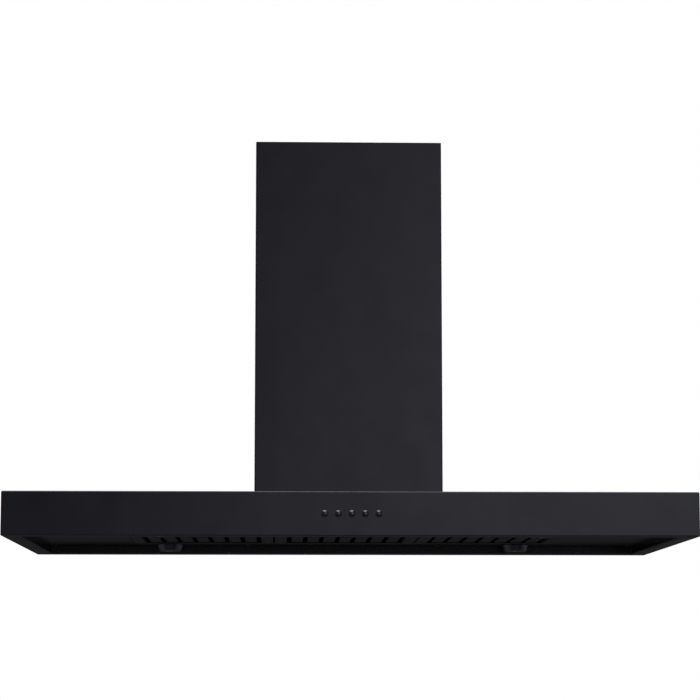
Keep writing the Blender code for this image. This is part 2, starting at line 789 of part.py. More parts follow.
def build_frame():
    """The hanging frame: a base ring on the canopy, four posts, four sliding inner posts and a ceiling plate."""
    folded(
        "base_frame",
        [
            (base_x, base_y, chimney_low + BASE_RISE),
            (base_x, base_y, chimney_low),
            (opening_x, opening_y, chimney_low),
        ],
        FRAME_SHEET,
        zinc_sheet,
    )
    moving = []
    inner_leg = UPRIGHT_LEG - UPRIGHT_SHEET - 2 * FIT_GAP
    for depth_name, sy in (("front", -1), ("rear", 1)):
        for side_name, sx in (("left", -1), ("right", 1)):
            where = f"{depth_name}_{side_name}"
            build_post(f"lower_post_{where}", sx * post_x, sy * post_y, on_base, post_top, UPRIGHT_LEG, zinc_sheet)
            moving.append(
                build_post(
                    f"upper_post_{where}",
                    sx * inner_post_x,
                    sy * inner_post_y,
                    inner_post_low,
                    inner_post_top,
                    inner_leg,
                    zinc_sheet,
                )
            )
        between = post_x - UPRIGHT_LEG - FIT_GAP
        edge = sorted((sy * post_y, sy * (post_y - UPRIGHT_SHEET)))
        box(
            f"brace_{depth_name}",
            (-between, edge[0], post_top - BRACE_HEIGHT),
            (between, edge[1], post_top),
            zinc_sheet,
        )
    plate_x, plate_y = post_x, post_y
    fixings = [
        circle(FIXING_HOLE_RADIUS, sx * (plate_x - FIXING_INSET), sy * (plate_y - FIXING_INSET), COARSE)
        for sx in (-1, 1)
        for sy in (-1, 1)
    ]
    plate = flat(
        "ceiling_plate",
        [rectangle(plate_x, plate_y), circle(DUCT_RADIUS + CEILING_HOLE_MARGIN), *fixings],
        CEILING_PLATE,
        (0, 0, TOTAL_HEIGHT - CEILING_PLATE / 2),
        zinc_sheet,
    )
    hang_on(empty("frame_extension", (0, 0, TOTAL_HEIGHT)), plate, *moving)


def scroll_outline(offset, above):
    """The scroll's section in Y and Z from the impeller's axis: a growing spiral, then straight up to the outlet."""
    steps = FINE // 2
    points = []
    for i in range(steps + 1):
        angle = tongue_angle + (2 * math.pi - tongue_angle) * i / steps
        radius = scroll_start + scroll_rate * (angle - tongue_angle) + offset
        points.append((radius * math.cos(angle), radius * math.sin(angle)))
    top = outlet_top - axis_z + above
    points.append((scroll_end + offset, top))
    points.append((tongue_y - offset, top))
    return points


def build_blower():
    """A double-inlet centrifugal blower: scroll housing, inlet rings, impeller, motor and motor bracket."""
    across = Matrix(((0, 0, 1), (1, 0, 0), (0, 1, 0)))
    place = (0, axis_y, axis_z)
    housing = as_mesh(
        flat("blower_housing", [scroll_outline(HOUSING_WALL, 0)], 2 * housing_x, place, black_plastic, across)
    )
    cavity = as_mesh(flat("scroll_cavity", [scroll_outline(0, 0.01)], 2 * DUCT_RADIUS, place, None, across))
    feet = boxes(
        "blower_feet",
        [
            (
                (sx * (housing_x - FOOT_WIDTH / 2) - FOOT_WIDTH / 2 + sx * FIT_GAP, y - FOOT_WIDTH / 2, rail_top + FIT_GAP),
                (sx * (housing_x - FOOT_WIDTH / 2) + FOOT_WIDTH / 2 + sx * FIT_GAP, y + FOOT_WIDTH / 2, axis_z - FOOT_SPREAD),
            )
            for sx in (-1, 1)
            for y in (axis_y - FOOT_SPREAD, axis_y + FOOT_SPREAD)
        ],
    )
    boolean(housing, feet, "UNION")
    boolean(housing, cavity)
    reach = 2 * housing_x
    inlets = cylinder("inlet_holes", inlet_radius, (-reach, axis_y, axis_z), (reach, axis_y, axis_z), segments=FINE)
    boolean(housing, inlets)

    for side_name, sx in (("left", -1), ("right", 1)):
        turned(
            f"inlet_ring_{side_name}",
            [
                (inlet_radius + INLET_RING_SHEET, ring_face + INLET_RING_LIP),
                (inlet_radius + INLET_RING_SHEET, ring_face + INLET_RING_SHEET),
                (inlet_radius + INLET_RING_WIDTH, ring_face + INLET_RING_SHEET),
                (inlet_radius + INLET_RING_WIDTH, ring_face),
                (inlet_radius, ring_face),
                (inlet_radius, ring_face + INLET_RING_LIP),
            ],
            place,
            (sx, 0, 0),
            black_plastic,
            FINE,
        )
        rail_mid = sx * (housing_x - FOOT_WIDTH / 2)
        box(
            f"blower_rail_{side_name}",
            (rail_mid - RAIL_WIDTH / 2, -post_y, on_base),
            (rail_mid + RAIL_WIDTH / 2, post_y, rail_top),
            zinc_sheet,
        )
    build_motor(place)
    build_impeller(place)


def build_motor(place):
    """The motor hangs in the right inlet on a three-armed bracket. Its shaft runs on into the impeller's hub."""
    nose = HUB_LENGTH / 2 + MOTOR_NOSE_GAP
    rear = bracket_low - FIT_GAP
    bore = SHAFT_RADIUS + FIT_GAP
    shoulder = motor_radius / 2
    turned(
        "motor",
        [
            (motor_radius - LAMP_WALL, rear),
            (motor_radius, rear - LAMP_WALL),
            (motor_radius, nose + shoulder / 4),
            (motor_radius - LAMP_WALL, nose + shoulder / 5),
            (shoulder, nose + shoulder / 5),
            (shoulder, nose),
            (bore, nose),
            (bore, rear),
        ],
        place,
        (1, 0, 0),
        grey_metal,
    )
    shaft_end = bracket_low + 2 * BRACKET_SHEET
    shaft = cylinder(
        "motor_shaft",
        SHAFT_RADIUS,
        (-HUB_LENGTH / 2, axis_y, axis_z),
        (shaft_end, axis_y, axis_z),
        satin_steel,
        COARSE,
    )
    hang_on(blower_axis, shaft)

    bracket = cylinder(
        "motor_bracket",
        BRACKET_HUB_RADIUS,
        (bracket_low, axis_y, axis_z),
        (bracket_low + BRACKET_SHEET, axis_y, axis_z),
        zinc_sheet,
    )
    pad_in = inlet_radius + INLET_RING_WIDTH + SLIDE_GAP
    pad_out = pad_in + BRACKET_PAD
    bm = bmesh.new()
    for turn in (90, 210, 330):
        spin = Matrix.Translation(place) @ Matrix.Rotation(math.radians(turn), 4, "X")
        for low, high in (
            (
                (bracket_low + FIT_GAP, BRACKET_HUB_RADIUS / 2, -BRACKET_ARM_WIDTH / 2),
                (bracket_low + BRACKET_SHEET - FIT_GAP, pad_out - FIT_GAP, BRACKET_ARM_WIDTH / 2),
            ),
        ):
            low, high = Vector(low), Vector(high)
            block = Matrix.Translation((low + high) / 2) @ Matrix.Diagonal((*(high - low), 1))
            bmesh.ops.create_cube(bm, size=1, matrix=spin @ block)
    boolean(bracket, mesh_object("bracket_arms", bm, None), "UNION")
    bm = bmesh.new()
    for turn in (90, 210, 330):
        spin = Matrix.Translation(place) @ Matrix.Rotation(math.radians(turn), 4, "X")
        low = Vector((ring_face, pad_in, -BRACKET_ARM_WIDTH / 2 - FIT_GAP))
        high = Vector((bracket_low + BRACKET_SHEET, pad_out, BRACKET_ARM_WIDTH / 2 + FIT_GAP))
        block = Matrix.Translation((low + high) / 2) @ Matrix.Diagonal((*(high - low), 1))
        bmesh.ops.create_cube(bm, size=1, matrix=spin @ block)
    boolean(bracket, mesh_object("bracket_pads", bm, None), "UNION")
    bore_tool = cylinder(
        "bracket_bore",
        BRACKET_BORE,
        (bracket_low - 0.01, axis_y, axis_z),
        (bracket_low + 0.01, axis_y, axis_z),
        segments=COARSE,
    )
    boolean(bracket, bore_tool)


def build_impeller(place):
    """Forward-curved blades between two end rings, carried by a centre disc and hub."""
    chord_middle = impeller_radius - BLADE_CHORD / 2
    disc_radius = chord_middle
    half_disc, half_hub, bore = DISC_THICKNESS / 2, HUB_LENGTH / 2, SHAFT_RADIUS + FIT_GAP
    impeller = turned(
        "impeller",
        [
            (HUB_RADIUS, half_hub),
            (HUB_RADIUS, half_disc),
            (disc_radius, half_disc),
            (disc_radius, -half_disc),
            (HUB_RADIUS, -half_disc),
            (HUB_RADIUS, -half_hub),
            (bore, -half_hub),
            (bore, half_hub),
        ],
        place,
        (1, 0, 0),
        zinc_sheet,
        FINE,
    )
    bm = bmesh.new()
    for i in range(BLADE_COUNT):
        turn = Matrix.Rotation(2 * math.pi * i / BLADE_COUNT, 4, "X")
        tilt = Matrix.Rotation(math.radians(BLADE_PITCH_DEG), 4, "X")
        size = Matrix.Diagonal((2 * impeller_x - RING_THICKNESS, BLADE_THICKNESS, BLADE_CHORD, 1))
        blade = Matrix.Translation(place) @ turn @ Matrix.Translation((0, 0, chord_middle)) @ tilt @ size
        bmesh.ops.create_cube(bm, size=1, matrix=blade)
    boolean(impeller, mesh_object("blades", bm, None), "UNION")
    ring_in, ring_out = chord_middle - BLADE_CHORD / 2, impeller_radius
    for side_name, sx in (("left", -1), ("right", 1)):
        near, far = sx * (impeller_x - RING_THICKNESS), sx * impeller_x
        low, high = min(near, far), max(near, far)
        ring = turned(
            f"end_ring_{side_name}",
            [(ring_out, high), (ring_out, low), (ring_in, low), (ring_in, high)],
            place,
            (1, 0, 0),
            None,
            FINE,
        )
        boolean(impeller, ring, "UNION")
    hang_on(blower_axis, impeller)


def build_outlet():
    """The collar on the blower's outlet, and the two damper flaps that hang closed in it."""
    middle_x, middle_y = 0, 0
    plate_x = housing_x + COLLAR_MARGIN
    collar = box(
        "outlet_collar",
        (middle_x - plate_x, middle_y - plate_x, collar_low),
        (middle_x + plate_x, middle_y + plate_x, collar_low + COLLAR_PLATE),
        zinc_sheet,
    )
    tube = cylinder(
        "collar_tube",
        DUCT_RADIUS,
        (middle_x, middle_y, collar_low + COLLAR_PLATE / 2),
        (middle_x, middle_y, collar_top),
        segments=FINE,
    )
    boolean(collar, tube, "UNION")
    bore_radius = DUCT_RADIUS - COLLAR_WALL
    bore = cylinder(
        "collar_bore", bore_radius, (middle_x, middle_y, collar_low - 0.01), (middle_x, middle_y, collar_top + 0.01),
        segments=FINE,
    )
    boolean(collar, bore)

    flap_radius = bore_radius - FLAP_EDGE_GAP
    pin_reach = DUCT_RADIUS + FLAP_PIN_REACH
    start = math.asin(FLAP_SPLIT / flap_radius)
    for name, side in (("front", -1), ("rear", 1)):
        pin_y = side * FLAP_PIN_OFFSET
        hole = cylinder(
            f"pin_holes_{name}",
            FLAP_PIN_RADIUS + FLAP_PIN_CLEARANCE,
            (-2 * DUCT_RADIUS, pin_y, flap_z),
            (2 * DUCT_RADIUS, pin_y, flap_z),
            segments=COARSE,
        )
        boolean(collar, hole)
        arc = [start + (math.pi - 2 * start) * i / (FINE // 2) for i in range(FINE // 2 + 1)]
        outline = [(flap_radius * math.cos(t), side * flap_radius * math.sin(t)) for t in arc]
        if side < 0:
            outline.reverse()
        flap = as_mesh(flat(f"damper_flap_{name}", [outline], FLAP_SHEET, (0, 0, flap_z), zinc_sheet))
        pin = cylinder(
            f"flap_pin_{name}",
            FLAP_PIN_RADIUS,
            (-pin_reach, pin_y, flap_z),
            (pin_reach, pin_y, flap_z),
            segments=COARSE,
        )
        boolean(flap, pin, "UNION")
        hang_on(empty(f"damper_{name}_hinge", (0, pin_y, flap_z)), flap)


def smooth_route(route, spacing):
    """Points at about the spacing along a smooth curve through the route's own points."""
    points = [Vector(p) for p in route]
    padded = [2 * points[0] - points[1], *points, 2 * points[-1] - points[-2]]
    found = []
    for before, a, b, after in zip(padded, padded[1:], padded[2:], padded[3:]):
        count = max(2, round((b - a).length / spacing))
        for i in range(count):
            t = i / count
            found.append(
                0.5
                * (
                    2 * a
                    + (b - before) * t
                    + (2 * before - 5 * a + 4 * b - after) * t**2
                    + (3 * a - before - 3 * b + after) * t**3
                )
            )
    return [*found, points[-1]]


def lead(name, route):
    """A round electric lead along a route."""
    curve = bpy.data.curves.new(name, "CURVE")
    curve.dimensions = "3D"
    curve.bevel_depth = LEAD_RADIUS
    curve.bevel_resolution = 1
    curve.use_fill_caps = True
    points = smooth_route(route, LEAD_POINT_SPACING)
    spline = curve.splines.new("POLY")
    spline.points.add(len(points) - 1)
    for made, co in zip(spline.points, points):
        made.co = (*co, 1)
    curve.materials.append(black_rubber)
    obj = bpy.data.objects.new(name, curve)
    hood.objects.link(obj)
    return obj


def build_electrics(switch_y):
    """The control box in the rear right corner, its lid and mains gland, and the switch and motor leads."""
    low = on_panel
    lid_low = low + BOX_HEIGHT - BOX_LID
    case = box("control_box", (box_x0, box_y0, low), (box_x1, box_y1, lid_low - FIT_GAP), black_plastic)
    hollow = box(
        "box_hollow",
        (box_x0 + BOX_WALL, box_y0 + BOX_WALL, low + BOX_WALL),
        (box_x1 - BOX_WALL, box_y1 - BOX_WALL, lid_low + 0.01),
    )
    boolean(case, hollow)
    port_z = low + BOX_HEIGHT / 2
    gland_x = box_x1 - 3 * GLAND_RADIUS
    port = cylinder(
        "mains_port",
        GLAND_BORE,
        (gland_x, box_y0 - BOX_WALL, port_z),
        (gland_x, box_y0 + 2 * BOX_WALL, port_z),
        segments=COARSE,
    )
    boolean(case, port)
    box("control_box_lid", (box_x0, box_y0, lid_low), (box_x1, box_y1, low + BOX_HEIGHT), black_plastic)

    turned(
        "cable_gland",
        [
            (GLAND_RADIUS * 0.75, GLAND_LENGTH),
            (GLAND_RADIUS, GLAND_LENGTH * 0.7),
            (GLAND_RADIUS, 0),
            (GLAND_BORE, 0),
            (GLAND_BORE, GLAND_LENGTH),
        ],
        (gland_x, box_y0 - FIT_GAP, port_z),
        (0, -1, 0),
        black_plastic,
        COARSE,
    )

    channel_x = (recess_x + CANOPY_SHEET + PANEL_OVERHANG + half_w - CANOPY_SHEET) / 2
    turn = 0.030
    box_mid_y = (box_y0 + box_y1) / 2
    lead(
        "switch_lead",
        [
            (switch_x + LEAD_END_GAP, switch_y, button_z),
            (switch_x + turn, switch_y, button_z),
            (half_w / 2, switch_y, button_z - LEAD_RADIUS),
            (channel_x - turn, switch_y, button_z - LEAD_RADIUS),
            (channel_x - turn / 5, switch_y + turn / 5, button_z - LEAD_RADIUS),
            (channel_x, switch_y + turn, button_z - LEAD_RADIUS),
            (channel_x, box_mid_y - 2 * turn, button_z - LEAD_RADIUS),
            (channel_x, box_mid_y - turn, (button_z + port_z) / 2),
            (channel_x - turn / 6, box_mid_y - turn / 8, port_z),
            (box_x1 + LEAD_END_GAP, box_mid_y, port_z),
        ],
    )
    exit_x = box_x0 + 3 * GLAND_RADIUS
    rise_x = (housing_x + opening_x) / 2
    over = CANOPY_HEIGHT - CANOPY_SHEET - 4 * LEAD_RADIUS
    motor_end = bracket_low + BRACKET_SHEET + LEAD_END_GAP
    terminal_z = axis_z - (BRACKET_HUB_RADIUS + BRACKET_BORE) / 2
    lead(
        "motor_lead",
        [
            (exit_x, box_y0 - LEAD_END_GAP, port_z),
            (exit_x, box_y0 - turn, port_z),
            (exit_x - turn, box_y0 - 2.5 * turn, (port_z + over) / 2),
            ((exit_x + rise_x) / 2, box_y0 / 4, over),
            (rise_x + turn, axis_y / 2, over),
            (rise_x + turn / 4, axis_y, CANOPY_HEIGHT),
            (rise_x + turn / 4, axis_y, terminal_z - turn),
            (rise_x, axis_y, terminal_z - turn / 6),
            (motor_end, axis_y, terminal_z),
        ],
    )


clear_scene()
hood = new_collection("island_range_hood")
cutters = new_collection("cutters")
black_enamel = finish("black_enamel", (0.018, 0.018, 0.021), 0.38, 0.0)
black_steel = finish("black_steel", (0.030, 0.030, 0.033), 0.40, 0.6)
black_plastic = finish("black_plastic", (0.020, 0.020, 0.022), 0.50, 0.0)
grey_plastic = finish("grey_plastic", (0.060, 0.060, 0.065), 0.35, 0.0)
satin_steel = finish("satin_steel", (0.210, 0.210, 0.220), 0.30, 1.0)
grey_metal = finish("grey_metal", (0.280, 0.290, 0.300), 0.45, 0.9)
zinc_sheet = finish("zinc_sheet", (0.420, 0.430, 0.440), 0.45, 0.9)
frosted_glass = finish("frosted_glass", (0.780, 0.790, 0.780), 0.30, 0.0)
black_rubber = finish("black_rubber", (0.015, 0.015, 0.015), 0.60, 0.0)
blower_axis = empty("blower_axis", (0, axis_y, axis_z))

build_canopy()
build_lamps()
build_filters()
switch_middle_y = build_controls()
build_chimney()
build_frame()
build_blower()
build_outlet()
build_electrics(switch_middle_y)
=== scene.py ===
"""A black island range hood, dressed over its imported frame.

The canopy, its underside, the baffle filters, the spot lamps, the push buttons, the telescopic chimney
and the ceiling plate are made here the way a metal shop makes them: folded, punched, drilled, turned and
riveted. The other CAD parts keep their shape and get a real finish.
"""

import logging
import math
from collections.abc import Callable, Iterator, Sequence
from contextlib import contextmanager
from dataclasses import dataclass
from enum import Enum
from itertools import pairwise

import bmesh
import bpy
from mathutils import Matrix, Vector


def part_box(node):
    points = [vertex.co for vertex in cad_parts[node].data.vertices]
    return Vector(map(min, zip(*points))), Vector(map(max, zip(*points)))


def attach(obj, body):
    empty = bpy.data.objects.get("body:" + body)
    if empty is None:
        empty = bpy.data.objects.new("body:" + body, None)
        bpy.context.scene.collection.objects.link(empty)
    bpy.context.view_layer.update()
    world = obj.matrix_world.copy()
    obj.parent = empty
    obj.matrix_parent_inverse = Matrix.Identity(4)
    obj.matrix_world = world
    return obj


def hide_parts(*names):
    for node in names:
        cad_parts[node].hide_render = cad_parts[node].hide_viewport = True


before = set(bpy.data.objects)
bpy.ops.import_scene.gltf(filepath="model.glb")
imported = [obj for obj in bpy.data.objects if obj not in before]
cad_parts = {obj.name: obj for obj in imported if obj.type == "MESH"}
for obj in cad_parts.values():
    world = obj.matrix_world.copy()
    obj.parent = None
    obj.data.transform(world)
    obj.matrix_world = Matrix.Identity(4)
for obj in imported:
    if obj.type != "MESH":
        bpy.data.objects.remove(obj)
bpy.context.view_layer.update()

Piece = bpy.types.Object
Node = bpy.types.Node
Tree = bpy.types.NodeTree
Socket = bpy.types.NodeSocket
Point = Sequence[float]
Outline = list[tuple[float, float]]

LOG = logging.getLogger("range_hood")
UP = Vector((0, 0, 1))
DOWN = Vector((0, 0, -1))
FORWARD = Vector((0, -1, 0))
MM = 0.001
FLAT_ENOUGH = 0.9
SMOOTH_ANGLE = math.radians(32)
NOISE_LOW, NOISE_HIGH = 0.3, 0.7
MIX_FIRST, MIX_SECOND, MIX_RESULT = 6, 7, 2
SIDES = ("left", "right")
FILTERS = ("left", "centre", "right")
BUTTONS = range(1, 6)
LAMPS = ("front_left", "front_right", "rear_left", "rear_right")
CORNERS = [(sx, sy) for sx in (-1, 1) for sy in (-1, 1)]
QUARTER_TURN = math.pi / 2
THROUGH = 10 * MM
COLLAR_LIP = 1.6 * MM


class Part(Enum):
    """What of a mesh an edit-mode operator acts on."""

    FACES = "FACE"
    EDGES = "EDGE"


@dataclass(frozen=True)
class Box:
    """The lowest and highest corner of something, in metres."""

    low: Vector
    high: Vector

    @classmethod
    def of(cls, node: str) -> "Box":
        """The box of a CAD node at rest."""
        return cls(*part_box(node))

    @property
    def centre(self) -> Vector:
        """The middle of the box."""
        return (self.low + self.high) / 2

    @property
    def size(self) -> Vector:
        """The width, depth and height of the box."""
        return self.high - self.low


# ---------------------------------------------------------------------------------------- the bench


def only(*pieces: Piece) -> None:
    """Select these pieces alone, with the first one active."""
    bpy.ops.object.select_all(action="DESELECT")
    for piece in pieces:
        piece.select_set(True)
    bpy.context.view_layer.objects.active = pieces[0]


def settled(name: str) -> Piece:
    """Name the piece that was just added, and move its place, turn and size into its mesh.

    Args:
        name: the piece's name.

    Returns:
        The piece, with its object at the origin.
    """
    piece = bpy.context.active_object
    only(piece)
    bpy.ops.object.transform_apply(location=True, rotation=True, scale=True)
    piece.name = piece.data.name = name
    return piece


def block(name: str, low: Point, high: Point) -> Piece:
    """A cube between its lowest and highest corner."""
    box = Box(Vector(low), Vector(high))
    bpy.ops.mesh.primitive_cube_add(size=1, location=box.centre, scale=box.size)
    return settled(name)


def bar(name: str, radius: float, start: Point, end: Point, sides: int = 48) -> Piece:
    """A round bar between two points."""
    start, end = Vector(start), Vector(end)
    turn = (end - start).to_track_quat("Z", "Y").to_euler()
    bpy.ops.mesh.primitive_cylinder_add(
        vertices=sides, radius=radius, depth=(end - start).length, location=(start + end) / 2, rotation=turn
    )
    return settled(name)


@contextmanager
def on_bench(piece: Piece) -> Iterator[None]:
    """Hold one piece in edit mode, with all of it selected at first."""
    only(piece)
    bpy.ops.object.mode_set(mode="EDIT")
    bpy.ops.mesh.select_all(action="SELECT")
    yield
    bpy.ops.object.mode_set(mode="OBJECT")


def pick(part: Part, wanted: Callable[[Vector, Vector], bool]) -> None:
    """Select the faces or edges in edit mode that a test wants.

    Args:
        part: faces, which are tested by their middle and normal, or edges, by their middle and direction.
        wanted: the test.
    """
    bpy.ops.mesh.select_mode(type=part.value)
    bpy.ops.mesh.select_all(action="DESELECT")
    sheet = bpy.context.edit_object.data
    mesh = bmesh.from_edit_mesh(sheet)
    if part is Part.FACES:
        for face in mesh.faces:
            face.select_set(wanted(face.calc_center_median(), face.normal))
    else:
        for edge in mesh.edges:
            start, end = (vert.co for vert in edge.verts)
            edge.select_set(wanted((start + end) / 2, (end - start).normalized()))
    bmesh.update_edit_mesh(sheet)


def draw_out(shift: Point = (0, 0, 0)) -> None:
    """Extrude what is selected and move it."""
    bpy.ops.mesh.extrude_region_move(TRANSFORM_OT_translate={"value": tuple(shift)})


def modify(piece: Piece, kind: str, **settings: object) -> Piece:
    """Add a modifier with its settings and apply it."""
    only(piece)
    bpy.ops.object.modifier_add(type=kind)
    modifier = piece.modifiers[-1]
    for setting, value in settings.items():
        setattr(modifier, setting, value)
    bpy.ops.object.modifier_apply(modifier=modifier.name)
    return piece


def thickened(piece: Piece, sheet: float) -> Piece:
    """Give a folded skin the thickness of its sheet, inwards from its normals."""
    return modify(piece, "SOLIDIFY", thickness=sheet, offset=-1, use_even_offset=True)


def rounded(piece: Piece, radius: float, steps: int = 3, angle: float = 40) -> Piece:
    """Round the edges that turn by more than an angle in degrees, as a bend or a worn edge is."""
    return modify(
        piece,
        "BEVEL",
        width=radius,
        segments=steps,
        limit_method="ANGLE",
        angle_limit=math.radians(angle),
        use_clamp_overlap=True,
    )


def repeated(piece: Piece, count: int, step: Point) -> Piece:
    """A row of one piece, each a step from the last."""
    return modify(
        piece,
        "ARRAY",
        count=count,
        use_relative_offset=False,
        use_constant_offset=True,
        constant_offset_displace=tuple(step),
    )


def copied(piece: Piece, name: str, shift: Point) -> Piece:
    """A copy of a piece with its own mesh, moved by a shift."""
    only(piece)
    bpy.ops.object.duplicate(linked=False)
    bpy.context.active_object.location = shift
    return settled(name)


def joined(name: str, *pieces: Piece) -> Piece:
    """Several pieces as one mesh."""
    only(*pieces)
    bpy.ops.object.join()
    return settled(name)


def combined(piece: Piece, operation: str, *tools: Piece) -> Piece:
    """Cut tools out of a piece, or weld them to it, and take the tools away.

    Args:
        piece: the piece that is kept.
        operation: DIFFERENCE or UNION.
        tools: closed meshes that don't overlap each other.

    Returns:
        The piece.
    """
    tool = joined("tool", *tools)
    modify(piece, "BOOLEAN", operation=operation, solver="EXACT", object=tool)
    only(tool)
    bpy.ops.object.delete()
    return piece


def cut(piece: Piece, *tools: Piece) -> Piece:
    """Cut tools out of a piece."""
    return combined(piece, "DIFFERENCE", *tools)


def welded(piece: Piece, *tools: Piece) -> Piece:
    """Weld tools to a piece."""
    return combined(piece, "UNION", *tools)


def dome(radius: float, height: float, base: float, steps: int) -> Outline:
    """The outline of a quarter-round dome: from its top on the axis down to its rim at the base's height."""
    arc = [QUARTER_TURN * i / steps for i in range(steps + 1)]
    return [(radius * math.sin(a), base + height * math.cos(a)) for a in arc]


def bowed(radius: float, middle: float, fall: float, steps: int) -> Outline:
    """A shallow curve from the axis out to a radius, which falls this far below its middle."""
    return [(radius * i / steps, middle - fall * (i / steps) ** 2) for i in range(steps + 1)]


def turned(
    name: str,
    profile: Sequence[tuple[float, float]],
    place: Point,
    along: Vector = UP,
    sides: int = 64,
) -> Piece:
    """Turn a profile on a lathe: it is drawn point by point and spun round its axis.

    Args:
        name: the piece's name.
        profile: points of radius and height, which end at the first point again or on the axis.
        place: where the axis starts.
        along: the axis.
        sides: flats round a full turn.

    Returns:
        The turned piece.
    """
    points = [Vector((radius, 0, height)) for radius, height in profile]
    bpy.ops.mesh.primitive_plane_add(size=2 * MM)
    piece = settled(name)
    with on_bench(piece):
        bpy.ops.mesh.select_mode(type="VERT")
        bpy.ops.mesh.select_all(action="SELECT")
        bpy.ops.mesh.merge(type="CENTER")
        bpy.ops.transform.translate(value=points[0])
        for start, end in pairwise(points):
            bpy.ops.mesh.extrude_vertices_move(TRANSFORM_OT_translate={"value": end - start})
        bpy.ops.mesh.select_all(action="SELECT")
        bpy.ops.mesh.spin(steps=sides, angle=2 * math.pi, center=(0, 0, 0), axis=(0, 0, 1))
        bpy.ops.mesh.select_all(action="SELECT")
        bpy.ops.mesh.remove_doubles(threshold=MM / 1000)
        bpy.ops.mesh.normals_make_consistent(inside=False)
    piece.rotation_euler = along.to_track_quat("Z", "Y").to_euler()
    piece.location = place
    return settled(name)


# ----------------------------------------------------------------------------------------- finishes


def linear(colour: str) -> tuple[float, float, float, float]:
    """An sRGB hex colour as linear red, green, blue and alpha."""
    values = [int(colour[i : i + 2], 16) / 255 for i in (1, 3, 5)]
    return (*(v / 12.92 if v <= 0.04045 else ((v + 0.055) / 1.055) ** 2.4 for v in values), 1)


def per_metre(millimetres: float) -> float:
    """A pattern scale that repeats about once in this many millimetres."""
    return 1 / (millimetres * MM)


def add_node(
    tree: Tree, kind: str, inputs: dict[str | int, object] | None = None, **settings: object
) -> Node:
    """Add a shader node with its settings, values and links.

    Args:
        tree: the node tree.
        kind: the node's type.
        inputs: a value, or an output socket to link, for each named or numbered input.
        settings: the node's own properties.

    Returns:
        The node.
    """
    node = tree.nodes.new(kind)
    for setting, value in settings.items():
        setattr(node, setting, value)
    for key, value in (inputs or {}).items():
        if isinstance(value, Socket):
            tree.links.new(value, node.inputs[key])
        else:
            node.inputs[key].default_value = value
    return node


@dataclass(frozen=True)
class Finish:
    """A real surface finish: its name, the record's slot that it dresses, and its shader's constants."""

    name: str
    slot: str
    dark: str
    light: str
    smooth: float
    rough: float
    metallic: float = 0.0
    ior: float = 1.5
    coat: float = 0.0
    coat_roughness: float = 0.1

    def material(self) -> bpy.types.Material:
        """The finish's material, made the first time it is asked for."""
        made = bpy.data.materials.get(self.name)
        if made is None:
            made = bpy.data.materials.new(self.name)
            made.use_nodes = True
            shader = made.node_tree.nodes["Principled BSDF"]
            shader.inputs["Metallic"].default_value = self.metallic
            if self.metallic < 1:
                shader.inputs["IOR"].default_value = self.ior
            shader.inputs["Coat Weight"].default_value = self.coat
            shader.inputs["Coat Roughness"].default_value = self.coat_roughness
            self.dress(made.node_tree, shader)
        return made

    def place(self, tree: Tree, stretch: Point = (1, 1, 1)) -> Socket:
        """The piece's own coordinates in metres, stretched to give a pattern its grain."""
        coordinates = add_node(tree, "ShaderNodeTexCoord")
        mapping = add_node(
            tree, "ShaderNodeMapping", {"Vector": coordinates.outputs["Object"], "Scale": tuple(stretch)}
        )
        return mapping.outputs["Vector"]

    def noise(
        self,
        tree: Tree,
        millimetres: float,
        detail: float = 2,
        stretch: Point = (1, 1, 1),
    ) -> Socket:
        """A noise whose blots are about this many millimetres across."""
        inputs = {"Vector": self.place(tree, stretch), "Scale": per_metre(millimetres), "Detail": detail}
        return add_node(tree, "ShaderNodeTexNoise", inputs).outputs["Fac"]

    def spread(self, tree: Tree, pattern: Socket) -> Socket:
        """A noise, which mostly keeps between NOISE_LOW and NOISE_HIGH, stretched from 0 to 1."""
        inputs = {"Value": pattern, "From Min": NOISE_LOW, "From Max": NOISE_HIGH}
        return add_node(tree, "ShaderNodeMapRange", inputs).outputs["Result"]

    def tint(self, tree: Tree, shader: Node, pattern: Socket) -> None:
        """Let the colour wander between the finish's dark and light."""
        inputs = {"Factor": pattern, MIX_FIRST: linear(self.dark), MIX_SECOND: linear(self.light)}
        mix = add_node(tree, "ShaderNodeMix", inputs, data_type="RGBA")
        tree.links.new(mix.outputs[MIX_RESULT], shader.inputs["Base Color"])

    def polish(self, tree: Tree, shader: Node, pattern: Socket) -> None:
        """Let the roughness wander between the finish's smooth and rough."""
        inputs = {"Value": pattern, "To Min": self.smooth, "To Max": self.rough}
        wander = add_node(tree, "ShaderNodeMapRange", inputs)
        tree.links.new(wander.outputs["Result"], shader.inputs["Roughness"])

    def emboss(self, tree: Tree, shader: Node, layers: Sequence[tuple[Socket, float]]) -> None:
        """Raise the surface by patterns, each with its own height in millimetres."""
        bump = None
        for pattern, millimetres in layers:
            inputs = {"Height": pattern, "Distance": millimetres * MM, "Strength": 1.0}
            if bump is not None:
                inputs["Normal"] = bump.outputs["Normal"]
            bump = add_node(tree, "ShaderNodeBump", inputs)
        tree.links.new(bump.outputs["Normal"], shader.inputs["Normal"])

    def dress(self, tree: Tree, shader: Node) -> None:
        """Link the finish's patterns to its shader."""
        raise NotImplementedError


